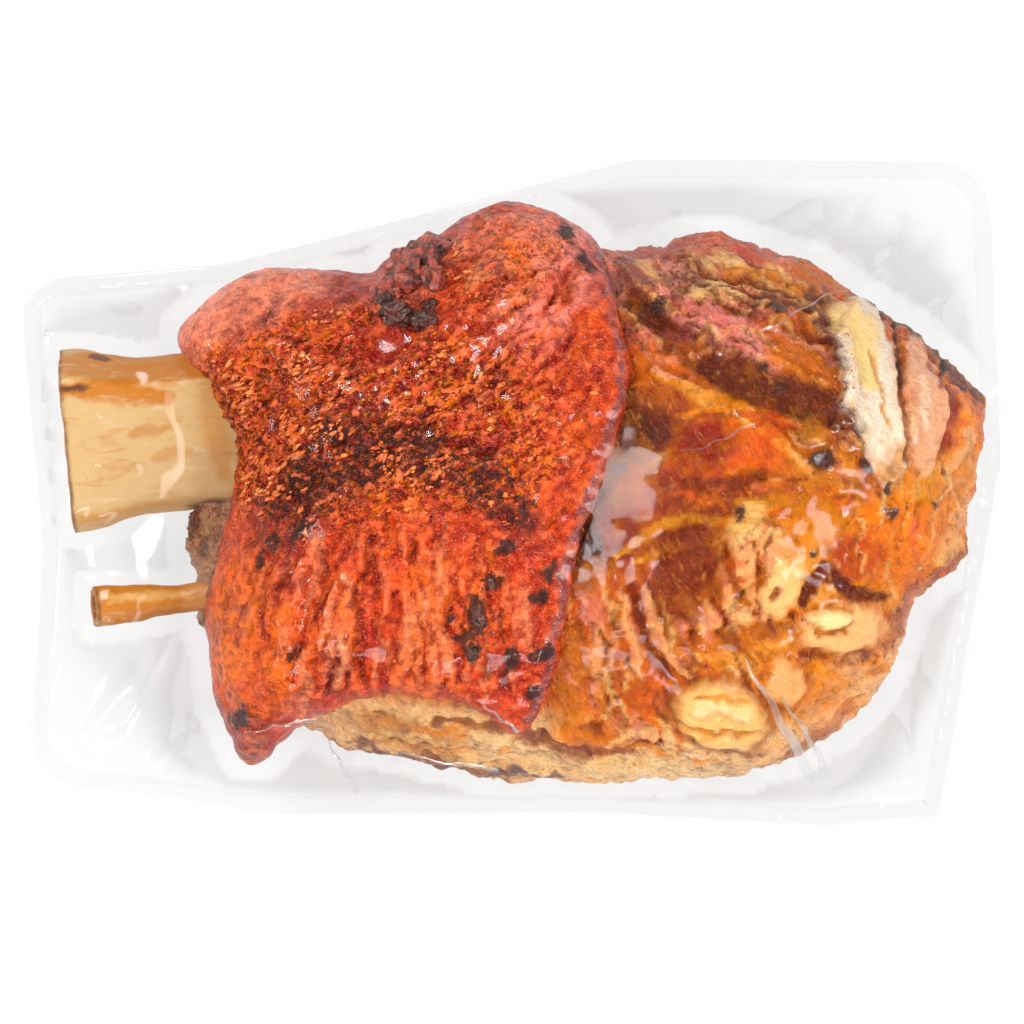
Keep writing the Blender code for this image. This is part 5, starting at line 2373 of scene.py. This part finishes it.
@dataclass
class Studio:
    """A pale table, soft lamps and a camera that looks straight down."""

    aim: tuple[float, float] = (0.1, -3.8)
    seen_width: float = 204.8
    seen_level: float = 27.0
    camera_height: float = 1300.0
    sensor: float = 36.0
    sky: float = 0.2
    table_half: float = 2.5
    table_glow: float = 0.9

    def build(self) -> None:
        """Sets up the table, the lamps, the sky and the camera."""
        self._table()
        for name, (place, size, power) in LAMPS.items():
            self._lamp(name, place, size, power)
        world = bpy.data.worlds.new("studio_air")
        world.use_nodes = True
        world.node_tree.nodes["Background"].inputs["Color"].default_value = (1, 1, 1, 1)
        world.node_tree.nodes["Background"].inputs["Strength"].default_value = self.sky
        bpy.context.scene.world = world
        view = bpy.context.scene.view_settings
        view.view_transform = "Standard"
        view.look = "None"
        self._camera()

    def _table(self) -> None:
        """Makes the white table."""
        s = Shader(Finish.TABLE)
        grain = s.noise(40.0, 2)
        material = s.finish(
            {
                "Base Color": s.blend(grain, (0.15, 0.15, 0.15), (0.17, 0.17, 0.17)),
                "Roughness": 0.8,
                "Specular IOR Level": 0.0,
                "Emission Color": (1.0, 1.0, 1.0),
                "Emission Strength": self.table_glow,
            }
        )
        mesh = bpy.data.meshes.new("table_top")
        shape = bmesh.new()
        bmesh.ops.create_grid(shape, x_segments=4, y_segments=4, size=self.table_half)
        shape.to_mesh(mesh)
        shape.free()
        mesh.materials.append(material)
        table = bpy.data.objects.new("table_top", mesh)
        bpy.context.scene.collection.objects.link(table)

    @staticmethod
    def _lamp(name: str, place: tuple[float, float, float], size: tuple[float, float], power: float) -> None:
        """Hangs a soft lamp that faces the hock.

        Args:
            name: the lamp's name.
            place: where it hangs, in metres.
            size: its width and height, in metres.
            power: its power, in watts.
        """
        data = bpy.data.lights.new("lamp_" + name, "AREA")
        data.shape = "RECTANGLE"
        data.size, data.size_y = size
        data.energy = power
        lamp = bpy.data.objects.new("lamp_" + name, data)
        lamp.location = place
        lamp.rotation_euler = (-Vector(place)).to_track_quat("-Z", "Y").to_euler()
        bpy.context.scene.collection.objects.link(lamp)

    def _camera(self) -> None:
        """Sets the camera over the hock."""
        data = bpy.data.cameras.new("camera")
        data.sensor_width = self.sensor
        data.lens = self.sensor * (self.camera_height - self.seen_level) / self.seen_width
        data.clip_start, data.clip_end = 0.01, 100
        camera = bpy.data.objects.new("camera", data)
        camera.location = (self.aim[0] * MM, self.aim[1] * MM, self.camera_height * MM)
        bpy.context.scene.collection.objects.link(camera)
        bpy.context.scene.camera = camera


def main() -> None:
    """Builds the hock, the pouch round it and the studio."""
    logging.basicConfig(level=logging.INFO, format="%(message)s")
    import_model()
    loop = pouch_loop()
    middle = tuple((loop.min(axis=0) + loop.max(axis=0)) / 2)
    placing = Placing(middle)
    hock = Hock(placing)
    hock.build()
    bones = [shin_bone(placing), splint_bone(placing)]
    for bone in bones:
        bone.build()
    ragged = RaggedMeat(placing)
    ragged.build()
    heights = HeightMap()
    for piece in (*hock.pieces, *bones[0].pieces, *bones[1].pieces, *ragged.pieces):
        heights.add(piece)
    heights.settle()
    toppings = Toppings(placing, heights)
    toppings.build()
    for piece in toppings.pieces:
        heights.add(piece)
    heights.settle()
    Pouch(placing, heights).build()
    Studio().build()
    LOG.info("all pieces built")


if __name__ == "__main__":
    main()
